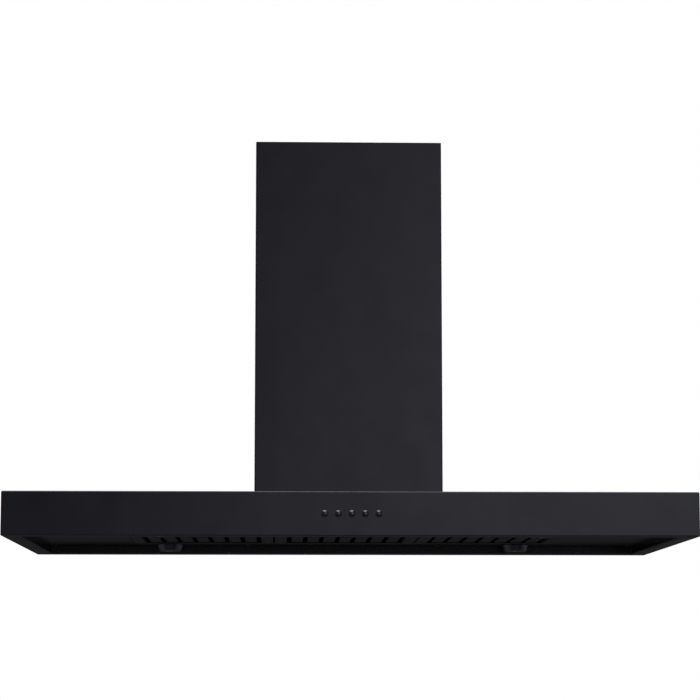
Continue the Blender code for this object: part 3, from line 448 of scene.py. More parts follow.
@dataclass(frozen=True)
class PowderCoat(Finish):
    """Semi-gloss black polyester powder, sprayed on folded steel sheet and baked.

    It gives a deep, slightly violet black, with a soft reflection that ripples over the orange peel and sags
    gently where a large panel isn't quite flat.
    """

    name: str = "black_powder_coat"
    slot: str = "black_enamel"
    dark: str = "#141318"
    light: str = "#19181e"
    smooth: float = 0.205
    rough: float = 0.255
    shade_mm: float = 45
    handling_mm: float = 70
    panel_mm: float = 160
    panel_height: float = 0.9
    peel_mm: float = 3.5
    peel_height: float = 0.05

    def dress(self, tree: Tree, shader: Node) -> None:
        """Faint shades, handled gloss, wavy panels, and orange peel at twice its real size."""
        self.tint(tree, shader, self.spread(tree, self.noise(tree, self.shade_mm, 4)))
        self.polish(tree, shader, self.spread(tree, self.noise(tree, self.handling_mm, 5)))
        waves = self.noise(tree, self.panel_mm, 1)
        peel = self.noise(tree, self.peel_mm)
        self.emboss(tree, shader, [(waves, self.panel_height), (peel, self.peel_height)])


@dataclass(frozen=True)
class CoatedFilterSteel(Finish):
    """Brushed steel filter sheet under a thin black coat: hairlines from front to back, and a worn sheen."""

    name: str = "black_coated_brushed_steel"
    slot: str = "black_steel"
    dark: str = "#1b1b1f"
    light: str = "#27272c"
    smooth: float = 0.30
    rough: float = 0.48
    metallic: float = 0.55
    film_mm: float = 30
    hairline_mm: float = 1.2
    hairline_stretch: tuple[float, float, float] = (1, 0.01, 1)
    hairline_height: float = 0.03

    def dress(self, tree: Tree, shader: Node) -> None:
        """Hairlines a hundred times longer than wide, and coarser than real, over a cloudy film."""
        lines = self.noise(tree, self.hairline_mm, 2, self.hairline_stretch)
        self.tint(tree, shader, self.spread(tree, self.noise(tree, self.film_mm, 4)))
        self.polish(tree, shader, self.spread(tree, lines))
        self.emboss(tree, shader, [(lines, self.hairline_height)])


@dataclass(frozen=True)
class BrushedStainless(Finish):
    """Stainless steel, toned dark and lightly brushed: a grey sheen, streaked by fine rings of grain."""

    name: str = "brushed_dark_stainless_steel"
    slot: str = "satin_steel"
    dark: str = "#4e4f52"
    light: str = "#5b5c5f"
    smooth: float = 0.24
    rough: float = 0.40
    metallic: float = 1.0
    grain_mm: float = 0.8
    grain_stretch: tuple[float, float, float] = (0.08, 0.08, 1)
    grain_height: float = 0.01

    def dress(self, tree: Tree, shader: Node) -> None:
        """Fine grain lies in level rings, as a lathe and a pad leave it."""
        grain = self.noise(tree, self.grain_mm, 3, self.grain_stretch)
        self.tint(tree, shader, self.spread(tree, grain))
        self.polish(tree, shader, self.spread(tree, grain))
        self.emboss(tree, shader, [(grain, self.grain_height)])


@dataclass(frozen=True)
class GalvanisedSheet(Finish):
    """Hot-dip galvanised steel: flat crystals of spangle, each with its own grey and gloss."""

    name: str = "galvanised_steel"
    slot: str = "zinc_sheet"
    dark: str = "#7f8486"
    light: str = "#a3a8aa"
    smooth: float = 0.34
    rough: float = 0.52
    metallic: float = 1.0
    spangle_mm: float = 9
    frost_mm: float = 1.5
    frost_height: float = 0.02

    def dress(self, tree: Tree, shader: Node) -> None:
        """Each crystal has one tone, and a faint frost inside it."""
        inputs = {"Vector": self.place(tree), "Scale": per_metre(self.spangle_mm)}
        spangle = add_node(tree, "ShaderNodeTexVoronoi", inputs).outputs["Color"]
        tone = add_node(tree, "ShaderNodeSeparateColor", {"Color": spangle}).outputs["Red"]
        self.tint(tree, shader, tone)
        self.polish(tree, shader, tone)
        self.emboss(tree, shader, [(self.noise(tree, self.frost_mm, 3), self.frost_height)])


@dataclass(frozen=True)
class GrainedFinish(Finish):
    """A finish with a drift of shade, a drift of gloss, and one fine grain, each of its own size."""

    shade_mm: float = 25
    shade_detail: float = 3
    gloss_mm: float = 18
    grain_mm: float = 1.0
    grain_detail: float = 2
    grain_height: float = 0.05

    def dress(self, tree: Tree, shader: Node) -> None:
        """Link the three patterns."""
        self.tint(tree, shader, self.spread(tree, self.noise(tree, self.shade_mm, self.shade_detail)))
        self.polish(tree, shader, self.spread(tree, self.noise(tree, self.gloss_mm, 3)))
        grain = self.noise(tree, self.grain_mm, self.grain_detail)
        self.emboss(tree, shader, [(grain, self.grain_height)])


@dataclass(frozen=True)
class MouldedPlastic(GrainedFinish):
    """Injection-moulded ABS: a dull, even black, with the fine pebble grain of a spark-eroded mould."""

    name: str = "textured_black_abs"
    slot: str = "black_plastic"
    dark: str = "#141416"
    light: str = "#1d1d1f"
    smooth: float = 0.45
    rough: float = 0.58
    grain_detail: float = 3


@dataclass(frozen=True)
class ButtonPlastic(GrainedFinish):
    """Polished dark ABS under clear lacquer: a button's cap, with sharp highlights that fingers dull."""

    name: str = "polished_dark_abs"
    slot: str = "button_plastic"
    dark: str = "#1c1c1f"
    light: str = "#27272a"
    smooth: float = 0.16
    rough: float = 0.26
    coat: float = 0.6
    coat_roughness: float = 0.08
    shade_mm: float = 6
    shade_detail: float = 2
    gloss_mm: float = 4
    grain_mm: float = 2.5
    grain_height: float = 0.01


@dataclass(frozen=True)
class DieCastAluminium(GrainedFinish):
    """Die-cast and shot-blasted aluminium: a motor's casing, dull silver with a fine, even grit."""

    name: str = "die_cast_aluminium"
    slot: str = "motor_metal"
    dark: str = "#77797b"
    light: str = "#909294"
    smooth: float = 0.46
    rough: float = 0.60
    metallic: float = 1.0
    shade_mm: float = 22
    gloss_mm: float = 8


@dataclass(frozen=True)
class FrostedGlass(GrainedFinish):
    """Acid-etched soda-lime glass: a lamp's cover, milky, with the lamp behind it only as a soft glow."""

    name: str = "frosted_glass_lens"
    slot: str = "frosted_glass"
    dark: str = "#d6dadb"
    light: str = "#eef1f1"
    smooth: float = 0.36
    rough: float = 0.50
    ior: float = 1.52
    clear: float = 0.55
    shade_mm: float = 9
    shade_detail: float = 2
    gloss_mm: float = 3
    grain_mm: float = 0.9
    grain_height: float = 0.02

    def dress(self, tree: Tree, shader: Node) -> None:
        """The etching is a fine crystal grain, and it lets about half of the light through."""
        shader.inputs["Transmission Weight"].default_value = self.clear
        super().dress(tree, shader)


@dataclass(frozen=True)
class CableSheath(GrainedFinish):
    """Extruded flexible PVC: a lead's black sheath, satin, with faint marks across it from the die."""

    name: str = "black_pvc_sheath"
    slot: str = "black_rubber"
    dark: str = "#121213"
    light: str = "#1c1c1d"
    smooth: float = 0.38
    rough: float = 0.52
    shade_mm: float = 12
    gloss_mm: float = 20
    grain_mm: float = 2
    grain_height: float = 0.04


POWDER = PowderCoat()
FILTER_STEEL = CoatedFilterSteel()
STAINLESS = BrushedStainless()
ZINC = GalvanisedSheet()
PLASTIC = MouldedPlastic()
BUTTON = ButtonPlastic()
CASTING = DieCastAluminium()
GLASS = FrostedGlass()
SHEATH = CableSheath()
FINISHES = {
    finish.slot: finish
    for finish in (POWDER, FILTER_STEEL, STAINLESS, ZINC, PLASTIC, BUTTON, CASTING, GLASS, SHEATH)
}


def hand_over(piece: Piece, finish: Finish, body: str, *stands_for: str) -> Piece:
    """Give a piece its finish and shading, and fix it to its body.

    Args:
        piece: the finished mesh.
        finish: what its surface is.
        body: the CAD body that it moves with.
        stands_for: the CAD nodes that it replaces.

    Returns:
        The piece.
    """
    piece.data.materials.clear()
    piece.data.materials.append(finish.material())
    only(piece)
    bpy.ops.object.shade_smooth_by_angle(angle=SMOOTH_ANGLE)
    modify(piece, "WEIGHTED_NORMAL", keep_sharp=True)
    if stands_for:
        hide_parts(*stands_for)
    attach(piece, body)
    LOG.info("%s: %d faces, rides on %s", piece.name, len(piece.data.polygons), body)
    return piece


# ----------------------------------------------------------------------------------- sub-assemblies


@dataclass
class PanScrew:
    """A pan-head screw with a cross recess, as it shows on a panel."""

    radius: float = 3.6 * MM
    height: float = 1.8 * MM
    slot_width: float = 0.9 * MM
    slot_length: float = 3.8 * MM
    slot_depth: float = 1.1 * MM
    straight_share: float = 0.35

    def make(self, name: str, places: Sequence[Point], along: Vector) -> Piece:
        """Turn one head, cut its cross, and copy it.

        Args:
            name: the name of all the screws together.
            places: where each head sits.
            along: the way the heads face.

        Returns:
            One piece of all the heads.
        """
        base = self.height * self.straight_share
        outline = dome(self.radius, self.height - base, base, steps=6)
        head = turned(name, [*outline, (self.radius, 0), (0, 0)], (0, 0, 0), sides=24)
        half, thin = self.slot_length / 2, self.slot_width / 2
        top = self.height - self.slot_depth
        cross = block("cross", (-half, -thin, top), (half, thin, 2 * self.height))
        other = block("cross_other", (-thin, -half, top), (thin, half, 2 * self.height))
        cut(cut(head, cross), other)
        head.rotation_euler = along.to_track_quat("Z", "Y").to_euler()
        only(head)
        bpy.ops.object.transform_apply(location=False, rotation=True, scale=False)
        heads = [copied(head, name, place) for place in places]
        only(head)
        bpy.ops.object.delete()
        return joined(name, *heads)


@dataclass
class Canopy:
    """The wide, shallow box of folded sheet, its folded-in rim, and the recessed underside panel."""

    sheet: float = 1.2 * MM
    bend: float = 2.4 * MM
    rim: float = 30 * MM
    gap: float = 0.3 * MM
    frame_leg: float = 28 * MM
    button_clearance: float = 0.4 * MM
    filter_clearance: float = 1.2 * MM
    lamp_clearance: float = 2 * MM
    punch: float = 9.6 * MM
    burr: float = 0.3 * MM
    screw_inset: float = 10 * MM
    screw_share: float = 0.33

    def skin(self) -> None:
        """Fold the box: the rim is turned in and up, and the top is opened under the chimney."""
        box = Box.of("canopy_shell")
        base = Box.of("base_frame")
        opening = base.high - Vector((self.frame_leg, self.frame_leg, 0))
        shell = block("canopy_skin", box.low, box.high)
        with on_bench(shell):
            pick(Part.FACES, lambda middle, normal: normal.z < -FLAT_ENOUGH)
            bpy.ops.mesh.inset(thickness=self.rim)
            draw_out((0, 0, Box.of("underside_panel").low.z - self.gap))
            bpy.ops.mesh.delete(type="FACE")
            pick(Part.FACES, lambda middle, normal: normal.z > FLAT_ENOUGH)
            draw_out()
            shrink = (opening.x / box.high.x, opening.y / box.high.y, 1)
            bpy.ops.transform.resize(value=shrink, center_override=(0, 0, box.high.z))
            bpy.ops.mesh.delete(type="FACE")
        rounded(shell, self.bend, steps=4)
        thickened(shell, self.sheet)
        holes = []
        for number in BUTTONS:
            button = Box.of(f"button_{number}")
            radius = button.size.x / 2 - COLLAR_LIP + self.button_clearance
            start = Vector((button.centre.x, box.low.y - self.bend, button.centre.z))
            holes.append(bar(f"hole_{number}", radius, start, start - FORWARD * self.punch))
        hand_over(cut(shell, *holes), POWDER, "canopy", "canopy_shell")

    def underside(self) -> None:
        """Punch the underside panel for the filter bank and the four lamps."""
        box = Box.of("underside_panel")
        first, last = Box.of("filter_frame_left"), Box.of("filter_frame_right")
        bank = Vector((last.high.x + self.filter_clearance, self.filter_clearance - first.low.y, 0))
        panel = block("underside_sheet", box.low, box.high)
        reach = UP * THROUGH
        holes = [block("bank", box.centre - bank - reach, box.centre + bank + reach)]
        for lamp in LAMPS:
            centre = Box.of(f"lamp_bezel_{lamp}").centre
            centre.z = box.centre.z
            radius = Box.of(f"lamp_lens_{lamp}").size.x / 2 + self.lamp_clearance
            holes.append(bar(lamp, radius, centre - reach, centre + reach, sides=64))
        hand_over(rounded(cut(panel, *holes), self.burr, steps=1), POWDER, "canopy", "underside_panel")

    def screws(self) -> None:
        """Pan-head screws hold the underside panel along both long edges and at both ends."""
        level = Box.of("underside_panel").low.z
        inset = self.rim + self.screw_inset
        reach = Box.of("canopy_shell").high - Vector((inset, inset, 0))
        places = [(sx * reach.x, sy * reach.y, level) for sx, sy in CORNERS]
        shares = (-self.screw_share, self.screw_share)
        places += [(share * reach.x, sy * reach.y, level) for share in shares for sy in (-1, 1)]
        places += [(sx * reach.x, 0, level) for sx in (-1, 1)]
        hand_over(PanScrew().make("panel_screws", places, DOWN), POWDER, "canopy")

    def build(self) -> None:
        """Make the canopy's pieces."""
        self.skin()
        self.underside()
        self.screws()


@dataclass
class Controls:
    """Five round push buttons: a domed cap, a collar behind the sheet, and a stem to the switch."""

    crown: float = 1.3 * MM
    edge: float = 0.5 * MM
    corner: float = 0.15 * MM
    collar: float = 1.2 * MM
    collar_gap: float = 0.3 * MM
    sheet: float = 1.2 * MM
    stem: float = 2.5 * MM
    cap_depth: float = 8.5 * MM

    def profile(self, radius: float, length: float, proud: float) -> Outline:
        """The button's outline, from the middle of its crown to the end of its stem.

        Args:
            radius: the cap's radius.
            length: the whole length, which is the crown's height above the stem's end.
            proud: how far the crown stands out of the canopy.

        Returns:
            Points of radius and height.
        """
        rim = length - self.crown
        collar = length - proud - self.sheet - self.collar_gap
        back = length - self.cap_depth
        wide = radius + COLLAR_LIP
        return [
            *bowed(radius - self.edge, length, self.crown, steps=8),
            (radius - self.corner, rim - self.corner),
            (radius, rim - self.edge),
            (radius, collar),
            (wide, collar),
            (wide, collar - self.collar),
            (radius, collar - self.collar),
            (radius, back),
            (self.stem, back),
            (self.stem, 0),
            (0, 0),
        ]

    def build(self) -> None:
        """Turn each button."""
        skin = Box.of("canopy_shell")
        for number in BUTTONS:
            box = Box.of(f"button_{number}")
            radius = box.size.x / 2 - COLLAR_LIP
            place = (box.centre.x, box.high.y, box.centre.z)
            outline = self.profile(radius, box.size.y, skin.low.y - box.low.y)
            button = turned(f"button_cap_{number}", outline, place, FORWARD)
            hand_over(button, BUTTON, f"button_{number}", f"button_{number}")


@dataclass
class GreaseFilter:
    """A baffle filter: a folded channel frame, two rows of staggered channels, and a sprung pull latch."""

    name: str
    sheet: float = 1.0 * MM
    bend: float = 1.2 * MM
    rail: float = 22 * MM
    top_rail: float = 14 * MM
    tab_width: float = 30 * MM
    baffles: int = 9
    baffle_width: float = 22 * MM
    baffle_depth: float = 5.5 * MM
    baffle_sheet: float = 0.8 * MM
    baffle_bend: float = 1.8 * MM
    end_bar: float = 8 * MM
    end_bar_bend: float = 0.8 * MM
    gap: float = 0.3 * MM
    slide_gap: float = 0.8 * MM
    grip_width: float = 28 * MM
    grip_sheet: float = 2 * MM
    grip_lip: float = 8.5 * MM
    latch_sheet: float = 1.5 * MM
    latch_edge: float = 0.5 * MM
    latch_travel: float = 7.5 * MM
    rivet: float = 2.4 * MM
    rivet_height: float = 0.96 * MM

    def __post_init__(self) -> None:
        """Find the filter's own box, without the tabs behind it."""
        frame_box = Box.of(f"filter_frame_{self.name}")
        self.low = frame_box.low
        self.high = Vector((frame_box.high.x, -frame_box.low.y, frame_box.high.z))
        self.rear = frame_box.high.y
        self.middle = frame_box.centre.x
        self.latch = Box.of(f"filter_latch_{self.name}")
        self.body = f"filter_{self.name}"

    def across(
        self, name: str, half: float, low: tuple[float, float], high: tuple[float, float], shift: float = 0
    ) -> Piece:
        """A block across the filter's middle.

        Args:
            name: its name.
            half: half its width.
            low: the depth and height where it starts.
            high: the depth and height where it ends.
            shift: how far it lies right of the middle.

        Returns:
            The block.
        """
        middle = self.middle + shift
        return block(name, (middle - half, *low), (middle + half, *high))

    def ring(self) -> None:
        """Fold the frame, open below and above, weld on its tabs, and cut its latch slots."""
        ring = block(f"filter_ring_{self.name}", self.low, self.high)
        with on_bench(ring):
            for side, rail in ((-1, self.rail), (1, self.top_rail)):
                pick(Part.FACES, lambda middle, normal, side=side: side * normal.z > FLAT_ENOUGH)
                bpy.ops.mesh.inset(thickness=rail)
                bpy.ops.mesh.delete(type="FACE")
        rounded(ring, self.bend)
        thickened(ring, self.sheet)
        reach = (self.high.x - self.low.x) / 4
        half = self.tab_width / 2
        level = self.latch.high.z - self.latch_sheet
        low, high = (self.high.y - self.sheet / 2, level), (self.rear, level + self.sheet)
        welded(ring, *(self.across(f"tab_{side}", half, low, high, side * reach) for side in (-1, 1)))
        start = self.low.y + self.sheet + self.grip_sheet
        end = start + self.grip_sheet + self.latch_travel
        tongue_slot = self.across(
            "tongue_slot",
            self.latch.size.x / 2 + self.slide_gap,
            (self.low.y - self.sheet, level - self.gap),
            (self.low.y + 2 * self.sheet, self.latch.high.z + self.gap),
        )
        grip_slot = self.across(
            "grip_slot",
            self.grip_width / 2 + self.slide_gap,
            (start - self.slide_gap, self.low.z - self.sheet),
            (end + self.slide_gap, self.low.z + 1.5 * self.sheet),
        )
        cut(ring, tongue_slot, grip_slot)
        hand_over(ring, FILTER_STEEL, self.body, f"filter_frame_{self.name}")

    def channels(self) -> None:
        """Fold one channel of each row, repeat it across, and close the ends with two bars."""
        pack = Box.of(f"filter_baffles_{self.name}")
        half = self.baffle_width / 2
        pitch = (pack.size.x - self.baffle_width) / (self.baffles - 1)
        rows = []
        for side, count in ((-1, self.baffles), (1, self.baffles - 1)):
            start = pack.centre.x - pitch * (count - 1) / 2
            web = pack.low.z + self.gap / 2 if side < 0 else pack.high.z - self.gap / 2
            edge = web - side * self.baffle_depth
            channel = block(
                f"channel_{side}",
                (start - half, pack.low.y + self.end_bar / 2, min(web, edge)),
                (start + half, pack.high.y - self.end_bar / 2, max(web, edge)),
            )
            with on_bench(channel):
                pick(
                    Part.FACES,
                    lambda middle, normal, side=side: (
                        abs(normal.y) > FLAT_ENOUGH or side * normal.z < -FLAT_ENOUGH
                    ),
                )
                bpy.ops.mesh.delete(type="FACE")
            rounded(channel, self.baffle_bend)
            thickened(channel, self.baffle_sheet)
            rows.append(repeated(channel, count, (pitch, 0, 0)))
        for y in (pack.low.y, pack.high.y - self.end_bar):
            high = (pack.high.x, y + self.end_bar, pack.high.z)
            end = block("end_bar", (pack.low.x, y, pack.low.z), high)
            rows.append(rounded(end, self.end_bar_bend, steps=2))
        baffles = joined(f"baffle_pack_{self.name}", *rows)
        hand_over(baffles, FILTER_STEEL, self.body, f"filter_baffles_{self.name}")

    def pull(self) -> None:
        """The latch: a flat tongue, a grip that hangs below the frame, and a rolled lip for a fingertip."""
        low, high = self.latch.low, self.latch.high
        grip = self.grip_width / 2
        front = self.low.y + self.sheet + self.grip_sheet
        latch = block(f"latch_pull_{self.name}", (low.x, low.y, high.z - self.latch_sheet), high)
        stem_end = (front + self.grip_sheet, high.z - self.latch_sheet / 2)
        stem = self.across("stem", grip, (front, low.z), stem_end)
        lip_start = (front + self.grip_sheet / 2, low.z + self.gap / 2)
        lip_end = (front + self.grip_lip, low.z + self.latch_sheet)
        lip = self.across("lip", grip - self.gap, lip_start, lip_end)
        rounded(welded(welded(latch, stem), lip), self.latch_edge, steps=2)
        hand_over(latch, PLASTIC, f"latch_{self.name}", f"filter_latch_{self.name}")

    def rivets(self) -> None:
        """A domed blind rivet through each corner of the frame's bottom rail."""
        inset = Vector((self.rail / 2, self.rail / 2, 0))
        reach = (self.high - self.low) / 2 - inset
        outline = [*dome(self.rivet, self.rivet_height, 0, steps=5), (0, 0)]
        heads = [
            turned(
                f"rivet_{sx}_{sy}",
                outline,
                (self.middle + sx * reach.x, sy * reach.y, self.low.z),
                DOWN,
                sides=20,
            )
            for sx, sy in CORNERS
        ]
        hand_over(joined(f"filter_rivets_{self.name}", *heads), STAINLESS, self.body)

    def build(self) -> None:
        """Make the filter's pieces."""
        self.ring()
        self.channels()
        self.pull()
        self.rivets()


@dataclass
class SpotLamp:
    """A spot lamp: a tapered bezel under the panel, its etched glass, a reflector, and the can above."""

    name: str
    wall: float = 1.5 * MM
    taper: float = 3.5 * MM
    flange: float = 1.5 * MM
    gap: float = 0.3 * MM
    edge: float = 0.45 * MM
    bulge: float = 1.2 * MM
    can_clearance: float = 1.2 * MM
    can_edge: float = 0.4 * MM
    rib: float = 1.0 * MM
    rib_levels: tuple[float, float, float] = (0.75, 0.6, 0.45)
    chip: float = 4 * MM
    chip_depth: float = 6 * MM
    foil: float = 0.5 * MM

    def __post_init__(self) -> None:
        """Find the lamp's own boxes."""
        self.bezel_box = Box.of(f"lamp_bezel_{self.name}")
        self.lens_box = Box.of(f"lamp_lens_{self.name}")
        self.can_box = Box.of(f"lamp_can_{self.name}")
        centre = self.bezel_box.centre
        self.place = (centre.x, centre.y, 0)

    def bezel(self) -> None:
        """Turn the bezel: a flat flange, a tapered nose, and a seat for the glass."""
        outer = self.bezel_box.size.x / 2
        nose = outer - self.taper
        lens = self.lens_box.size.x / 2
        low, top = self.bezel_box.low.z, self.bezel_box.high.z
        seat = low + self.wall
        profile = [
            (outer, top),
            (outer, top - self.flange),
            (nose, seat),
            (nose - self.wall, low),
            (lens - self.wall, low),
            (lens - self.wall, seat),
            (lens + self.gap, seat),
            (lens + self.gap, top),
            (outer, top),
        ]
        bezel = rounded(turned(f"lamp_trim_{self.name}", profile, self.place), self.edge, steps=2, angle=25)
        hand_over(bezel, STAINLESS, "canopy", f"lamp_bezel_{self.name}")

    def lens(self) -> None:
        """Turn the glass, which bulges a little through the bezel's hole."""
        radius = self.lens_box.size.x / 2
        low, top = self.lens_box.low.z, self.lens_box.high.z
        hole = radius - self.wall - self.gap
        bulge = bowed(hole, low - self.bulge, -self.bulge, steps=6)
        profile = [*bulge, (radius, low), (radius, top), (0, top)]
        glass = turned(f"lamp_glass_{self.name}", profile, self.place)
        hand_over(glass, GLASS, "canopy", f"lamp_lens_{self.name}")

    def can(self) -> None:
        """Turn the can, with rounded shoulders, a flange on the panel, and three cooling ribs."""
        outer = self.bezel_box.size.x / 2
        radius = self.lens_box.size.x / 2 + self.can_clearance
        low, top = self.can_box.low.z, self.can_box.high.z
        inside, proud = radius - self.wall, radius + self.rib
        profile = [(0, top), (radius, top)]
        foot, crest = self.rib, self.rib / 2
        for level in self.rib_levels:
            z = low + (top - low) * level
            profile += [(radius, z + foot), (proud, z + crest), (proud, z - crest), (radius, z - foot)]
        profile += [
            (radius, low + self.wall),
            (outer, low + self.wall),
            (outer, low),
            (inside, low),
            (inside, top - self.wall),
            (0, top - self.wall),
        ]
        can = turned(f"lamp_housing_{self.name}", profile, self.place, sides=48)
        rounded(can, self.can_edge, steps=2, angle=50)
        hand_over(can, ZINC, "canopy", f"lamp_can_{self.name}")

    def reflector(self) -> None:
        """Turn the metal bowl behind the glass, from the lens up to the lamp's chip."""
        rim = self.lens_box.size.x / 2 - self.wall - self.gap
        low = self.lens_box.high.z + self.gap
        top = self.can_box.high.z - self.chip_depth
        back = top + 1.5 * self.foil
        steps = 8
        inside = [
            (self.chip + (rim - self.chip) * math.sqrt(i / steps), top - (top - low) * i / steps)
            for i in range(steps + 1)
        ]
        outside = [(radius + self.foil, height) for radius, height in reversed(inside)]
        profile = [(0, top), *inside, *outside[:-1], (self.chip, back), (0, back)]
        hand_over(turned(f"lamp_reflector_{self.name}", profile, self.place, sides=48), STAINLESS, "canopy")

    def build(self) -> None:
        """Make the lamp's pieces."""
        self.bezel()
        self.lens()
        self.can()
        self.reflector()


@dataclass
class Chimney:
    """The straight outer chimney, folded with a seam behind, and the vented inner one that slides in it."""

    sheet: float = 1.0 * MM
    inner_sheet: float = 0.8 * MM
    bend: float = 2.6 * MM
    seam_width: float = 14 * MM
    seam_step: float = 0.9 * MM
    seam_edge: float = 0.4 * MM
    vents: int = 6
    vent_length: float = 120 * MM
    vent_height: float = 6 * MM
    vent_pitch: float = 14 * MM
    vent_margin: float = 30 * MM
    vent_rounding: float = 0.98
    seam_screws: int = 5

    def sleeve(self, name: str, box: Box, sheet: float) -> Piece:
        """Fold a rectangular sleeve that is open at both ends."""
        sleeve = block(name, box.low, box.high)
        with on_bench(sleeve):
            pick(Part.FACES, lambda middle, normal: abs(normal.z) > FLAT_ENOUGH)
            bpy.ops.mesh.delete(type="FACE")
        return thickened(rounded(sleeve, self.bend, steps=5), sheet)

    def outer(self) -> None:
        """The outer sleeve, with its folded seam down the middle of its rear."""
        box = Box.of("lower_chimney")
        sleeve = self.sleeve("chimney_sleeve", box, self.sheet)
        seam = block(
            "seam",
            (-self.seam_width / 2, box.high.y - self.sheet / 2, box.low.z + self.sheet),
            (self.seam_width / 2, box.high.y + self.seam_step, box.high.z - self.sheet),
        )
        welded(sleeve, rounded(seam, self.seam_edge, steps=2))
        hand_over(sleeve, POWDER, "canopy", "lower_chimney")
        rise = box.size.z / self.seam_screws
        levels = [box.low.z + rise * (i + 0.5) for i in range(self.seam_screws)]
        places = [(0, box.high.y + self.seam_step, level) for level in levels]
        screws = PanScrew(radius=3.0 * MM, height=1.4 * MM, slot_length=3.2 * MM, slot_depth=0.9 * MM)
        hand_over(screws.make("chimney_screws", places, -FORWARD), STAINLESS, "canopy")

    def inner(self) -> None:
        """The inner sleeve, with round-ended vents near its top in both sides."""
        box = Box.of("upper_chimney")
        sleeve = self.sleeve("chimney_extension_sleeve", box, self.inner_sheet)
        half = Vector((THROUGH, self.vent_length / 2, self.vent_height / 2))
        rows = []
        for name, x in zip(SIDES, (box.low.x, box.high.x)):
            first = Vector((x, 0, box.high.z - self.vent_margin - half.z))
            slot = block(f"vents_{name}", first - half, first + half)
            with on_bench(slot):
                pick(Part.EDGES, lambda middle, direction: abs(direction.x) > FLAT_ENOUGH)
                bpy.ops.mesh.bevel(offset=half.z * self.vent_rounding, segments=8, affect="EDGES")
            rows.append(repeated(slot, self.vents, (0, 0, -self.vent_pitch)))
        hand_over(cut(sleeve, *rows), POWDER, "upper_chimney", "upper_chimney")

    def build(self) -> None:
        """Make both sleeves."""
        self.outer()
        self.inner()


@dataclass
class CeilingPlate:
    """The plate that is screwed to the ceiling: a lipped duct hole, and a fixing hole near each corner."""

    corner: float = 7 * MM
    duct: float = 81 * MM
    lip: float = 5 * MM
    lip_sheet: float = 1.2 * MM
    fixing: float = 4 * MM
    fixing_inset: float = 22 * MM
    edge: float = 0.4 * MM

    def build(self) -> None:
        """Cut the plate and roll the lip of its duct hole."""
        box = Box.of("ceiling_plate")
        plate = block("ceiling_flange", box.low, box.high)
        with on_bench(plate):
            pick(Part.EDGES, lambda middle, direction: abs(direction.z) > FLAT_ENOUGH)
            bpy.ops.mesh.bevel(offset=self.corner, segments=6, affect="EDGES")
        drop = UP * THROUGH
        holes = [bar("duct", self.duct, box.centre - drop, box.centre + drop, sides=96)]
        reach = box.size / 2 - Vector((self.fixing_inset, self.fixing_inset, 0))
        for sx, sy in CORNERS:
            centre = box.centre + Vector((sx * reach.x, sy * reach.y, 0))
            holes.append(bar(f"fixing_{sx}_{sy}", self.fixing, centre - drop, centre + drop, sides=32))
        cut(plate, *holes)
        rounded(plate, self.edge, steps=2)
        inner, outer = self.duct - self.lip_sheet / 2, self.duct + self.lip_sheet / 2
        low, high = box.low.z - self.lip, box.centre.z
        outline = [(inner, high), (outer, high), (outer, low), (inner, low), (inner, high)]
        ring = turned("lip", outline, (0, 0, 0), sides=96)
        hand_over(joined("ceiling_flange", plate, ring), ZINC, "ceiling_frame", "ceiling_plate")


@dataclass(frozen=True)
class Glow:
    """A soft glow of the surroundings: its middle, the cosines where it begins and is full, its strength."""

    towards: tuple[float, float, float]
    start: float
    end: float
    strength: float = 1.0

    def brightness(self, tree: Tree, direction: Socket) -> Socket:
        """How bright the glow is in the direction that is looked in."""
        aim = tuple(Vector(self.towards).normalized())
        dot = add_node(tree, "ShaderNodeVectorMath", {0: direction, 1: aim}, operation="DOT_PRODUCT")
        inputs = {
            "Value": dot.outputs["Value"],
            "From Min": self.start,
            "From Max": self.end,
            "To Min": 0.0,
            "To Max": self.strength,
        }
        ramp = add_node(tree, "ShaderNodeMapRange", inputs, interpolation_type="SMOOTHSTEP")
        return ramp.outputs["Result"]


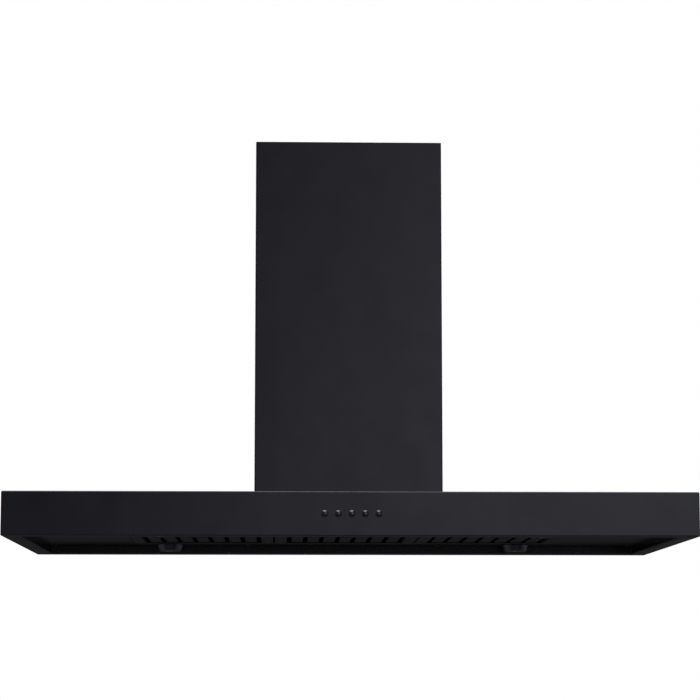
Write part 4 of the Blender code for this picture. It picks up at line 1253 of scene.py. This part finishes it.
@dataclass
class Studio:
    """A plain studio: white all round for the camera, soft light, a pale floor, and the camera.

    The key light is the product of its three glows: it lies in front, grows to the right and downwards, and
    ends at the horizon. The fills are added to it: a trace in front, one overhead, a small one high in front
    that the buttons' crowns catch, a faint one low behind that the underside mirrors, and one each from the
    left, the right, behind and below.
    """

    camera_place: tuple[float, float, float] = (-0.1256, -4.5214, -0.2400)
    camera_rise: float = 0.1330
    camera_turn: float = -0.0292
    lens: float = 125.95
    floor_level: float = -1.65
    floor_radius: float = 12.0
    floor_colour: str = "#e4e4e2"
    floor_roughness: float = 0.9
    tint: str = "#e6e6f2"
    level: float = 0.02
    key: tuple[Glow, ...] = (
        Glow((0, -1, 0), 0.75, 0.95),
        Glow((0.91, 0.0, -0.46), -0.115, 0.02),
        Glow((0, 0, 1), -0.13, 0.03),
    )
    fills: tuple[Glow, ...] = (
        Glow((0, -1, 0), 0.75, 0.95, 0.03),
        Glow((0, 0, 1), 0.50, 1.0, 0.9),
        Glow((0, -0.55, 0.83), 0.88, 0.96, 4.2),
        Glow((0, 1, -0.12), 0.90, 0.98, 0.015),
        Glow((-0.95, -0.1, 0.15), 0.55, 1.0, 0.35),
        Glow((0.95, 0.1, 0.15), 0.55, 1.0, 0.35),
        Glow((0.2, 0.75, 0.6), 0.72, 1.0, 0.35),
        Glow((0, 0, -1), 0.35, 1.0, 0.30),
    )

    def light(self) -> None:
        """Light the surroundings with the key and the fills, but show the camera plain white."""
        world = bpy.data.worlds.new("soft_studio")
        bpy.context.scene.world = world
        world.use_nodes = True
        tree = world.node_tree
        tree.nodes.clear()
        direction = add_node(tree, "ShaderNodeTexCoord").outputs["Generated"]

        def combine(total: Socket, part: object, operation: str) -> Socket:
            """Add or multiply two brightnesses."""
            return add_node(tree, "ShaderNodeMath", {0: total, 1: part}, operation=operation).outputs[0]

        total, *others = (glow.brightness(tree, direction) for glow in self.key)
        for part in others:
            total = combine(total, part, "MULTIPLY")
        for glow in self.fills:
            total = combine(total, glow.brightness(tree, direction), "ADD")
        total = combine(total, self.level, "ADD")
        lit = add_node(tree, "ShaderNodeBackground", {"Color": linear(self.tint), "Strength": total})
        white = add_node(tree, "ShaderNodeBackground", {"Color": (1, 1, 1, 1), "Strength": 1.0})
        seen = add_node(tree, "ShaderNodeLightPath").outputs["Is Camera Ray"]
        mix = add_node(tree, "ShaderNodeMixShader", {0: seen, 1: lit.outputs[0], 2: white.outputs[0]})
        add_node(tree, "ShaderNodeOutputWorld", {"Surface": mix.outputs[0]})

    def floor(self) -> None:
        """A pale floor, which is clear from below so that the hood can be looked at from there."""
        bpy.ops.mesh.primitive_circle_add(
            vertices=96, radius=self.floor_radius, location=(0, 0, self.floor_level), fill_type="NGON"
        )
        floor = settled("studio_floor")
        paint = bpy.data.materials.new("matt_floor_paint")
        paint.use_nodes = True
        tree = paint.node_tree
        shader = tree.nodes["Principled BSDF"]
        shader.inputs["Base Color"].default_value = linear(self.floor_colour)
        shader.inputs["Roughness"].default_value = self.floor_roughness
        clear = add_node(tree, "ShaderNodeBsdfTransparent")
        below = add_node(tree, "ShaderNodeNewGeometry").outputs["Backfacing"]
        mix = add_node(tree, "ShaderNodeMixShader", {0: below, 1: shader.outputs[0], 2: clear.outputs[0]})
        tree.links.new(mix.outputs[0], tree.nodes["Material Output"].inputs["Surface"])
        floor.data.materials.append(paint)
        floor.visible_glossy = floor.visible_diffuse = False

    def camera(self) -> None:
        """A long lens a little below the hood's underside, looking slightly up."""
        turn = (QUARTER_TURN + self.camera_rise, 0, self.camera_turn)
        bpy.ops.object.camera_add(location=self.camera_place, rotation=turn)
        camera = bpy.context.active_object
        camera.data.lens = self.lens
        bpy.context.scene.camera = camera

    def build(self) -> None:
        """Set up the light, the floor and the camera."""
        bpy.context.scene.view_settings.view_transform = "Standard"
        self.light()
        self.floor()
        self.camera()


def dress_carried_over() -> None:
    """Give every CAD node the finish of its material slot."""
    for name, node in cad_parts.items():
        for slot in node.material_slots:
            slot.material = FINISHES[slot.material.name.split(".")[0]].material()
            LOG.info("%s: carried over in %s", name, slot.material.name)


def main() -> None:
    """Build the hood and its studio."""
    logging.basicConfig(level=logging.INFO, format="%(message)s")
    Studio().build()
    dress_carried_over()
    Canopy().build()
    Controls().build()
    for name in FILTERS:
        GreaseFilter(name).build()
    for name in LAMPS:
        SpotLamp(name).build()
    Chimney().build()
    CeilingPlate().build()


if __name__ == "__main__":
    main()
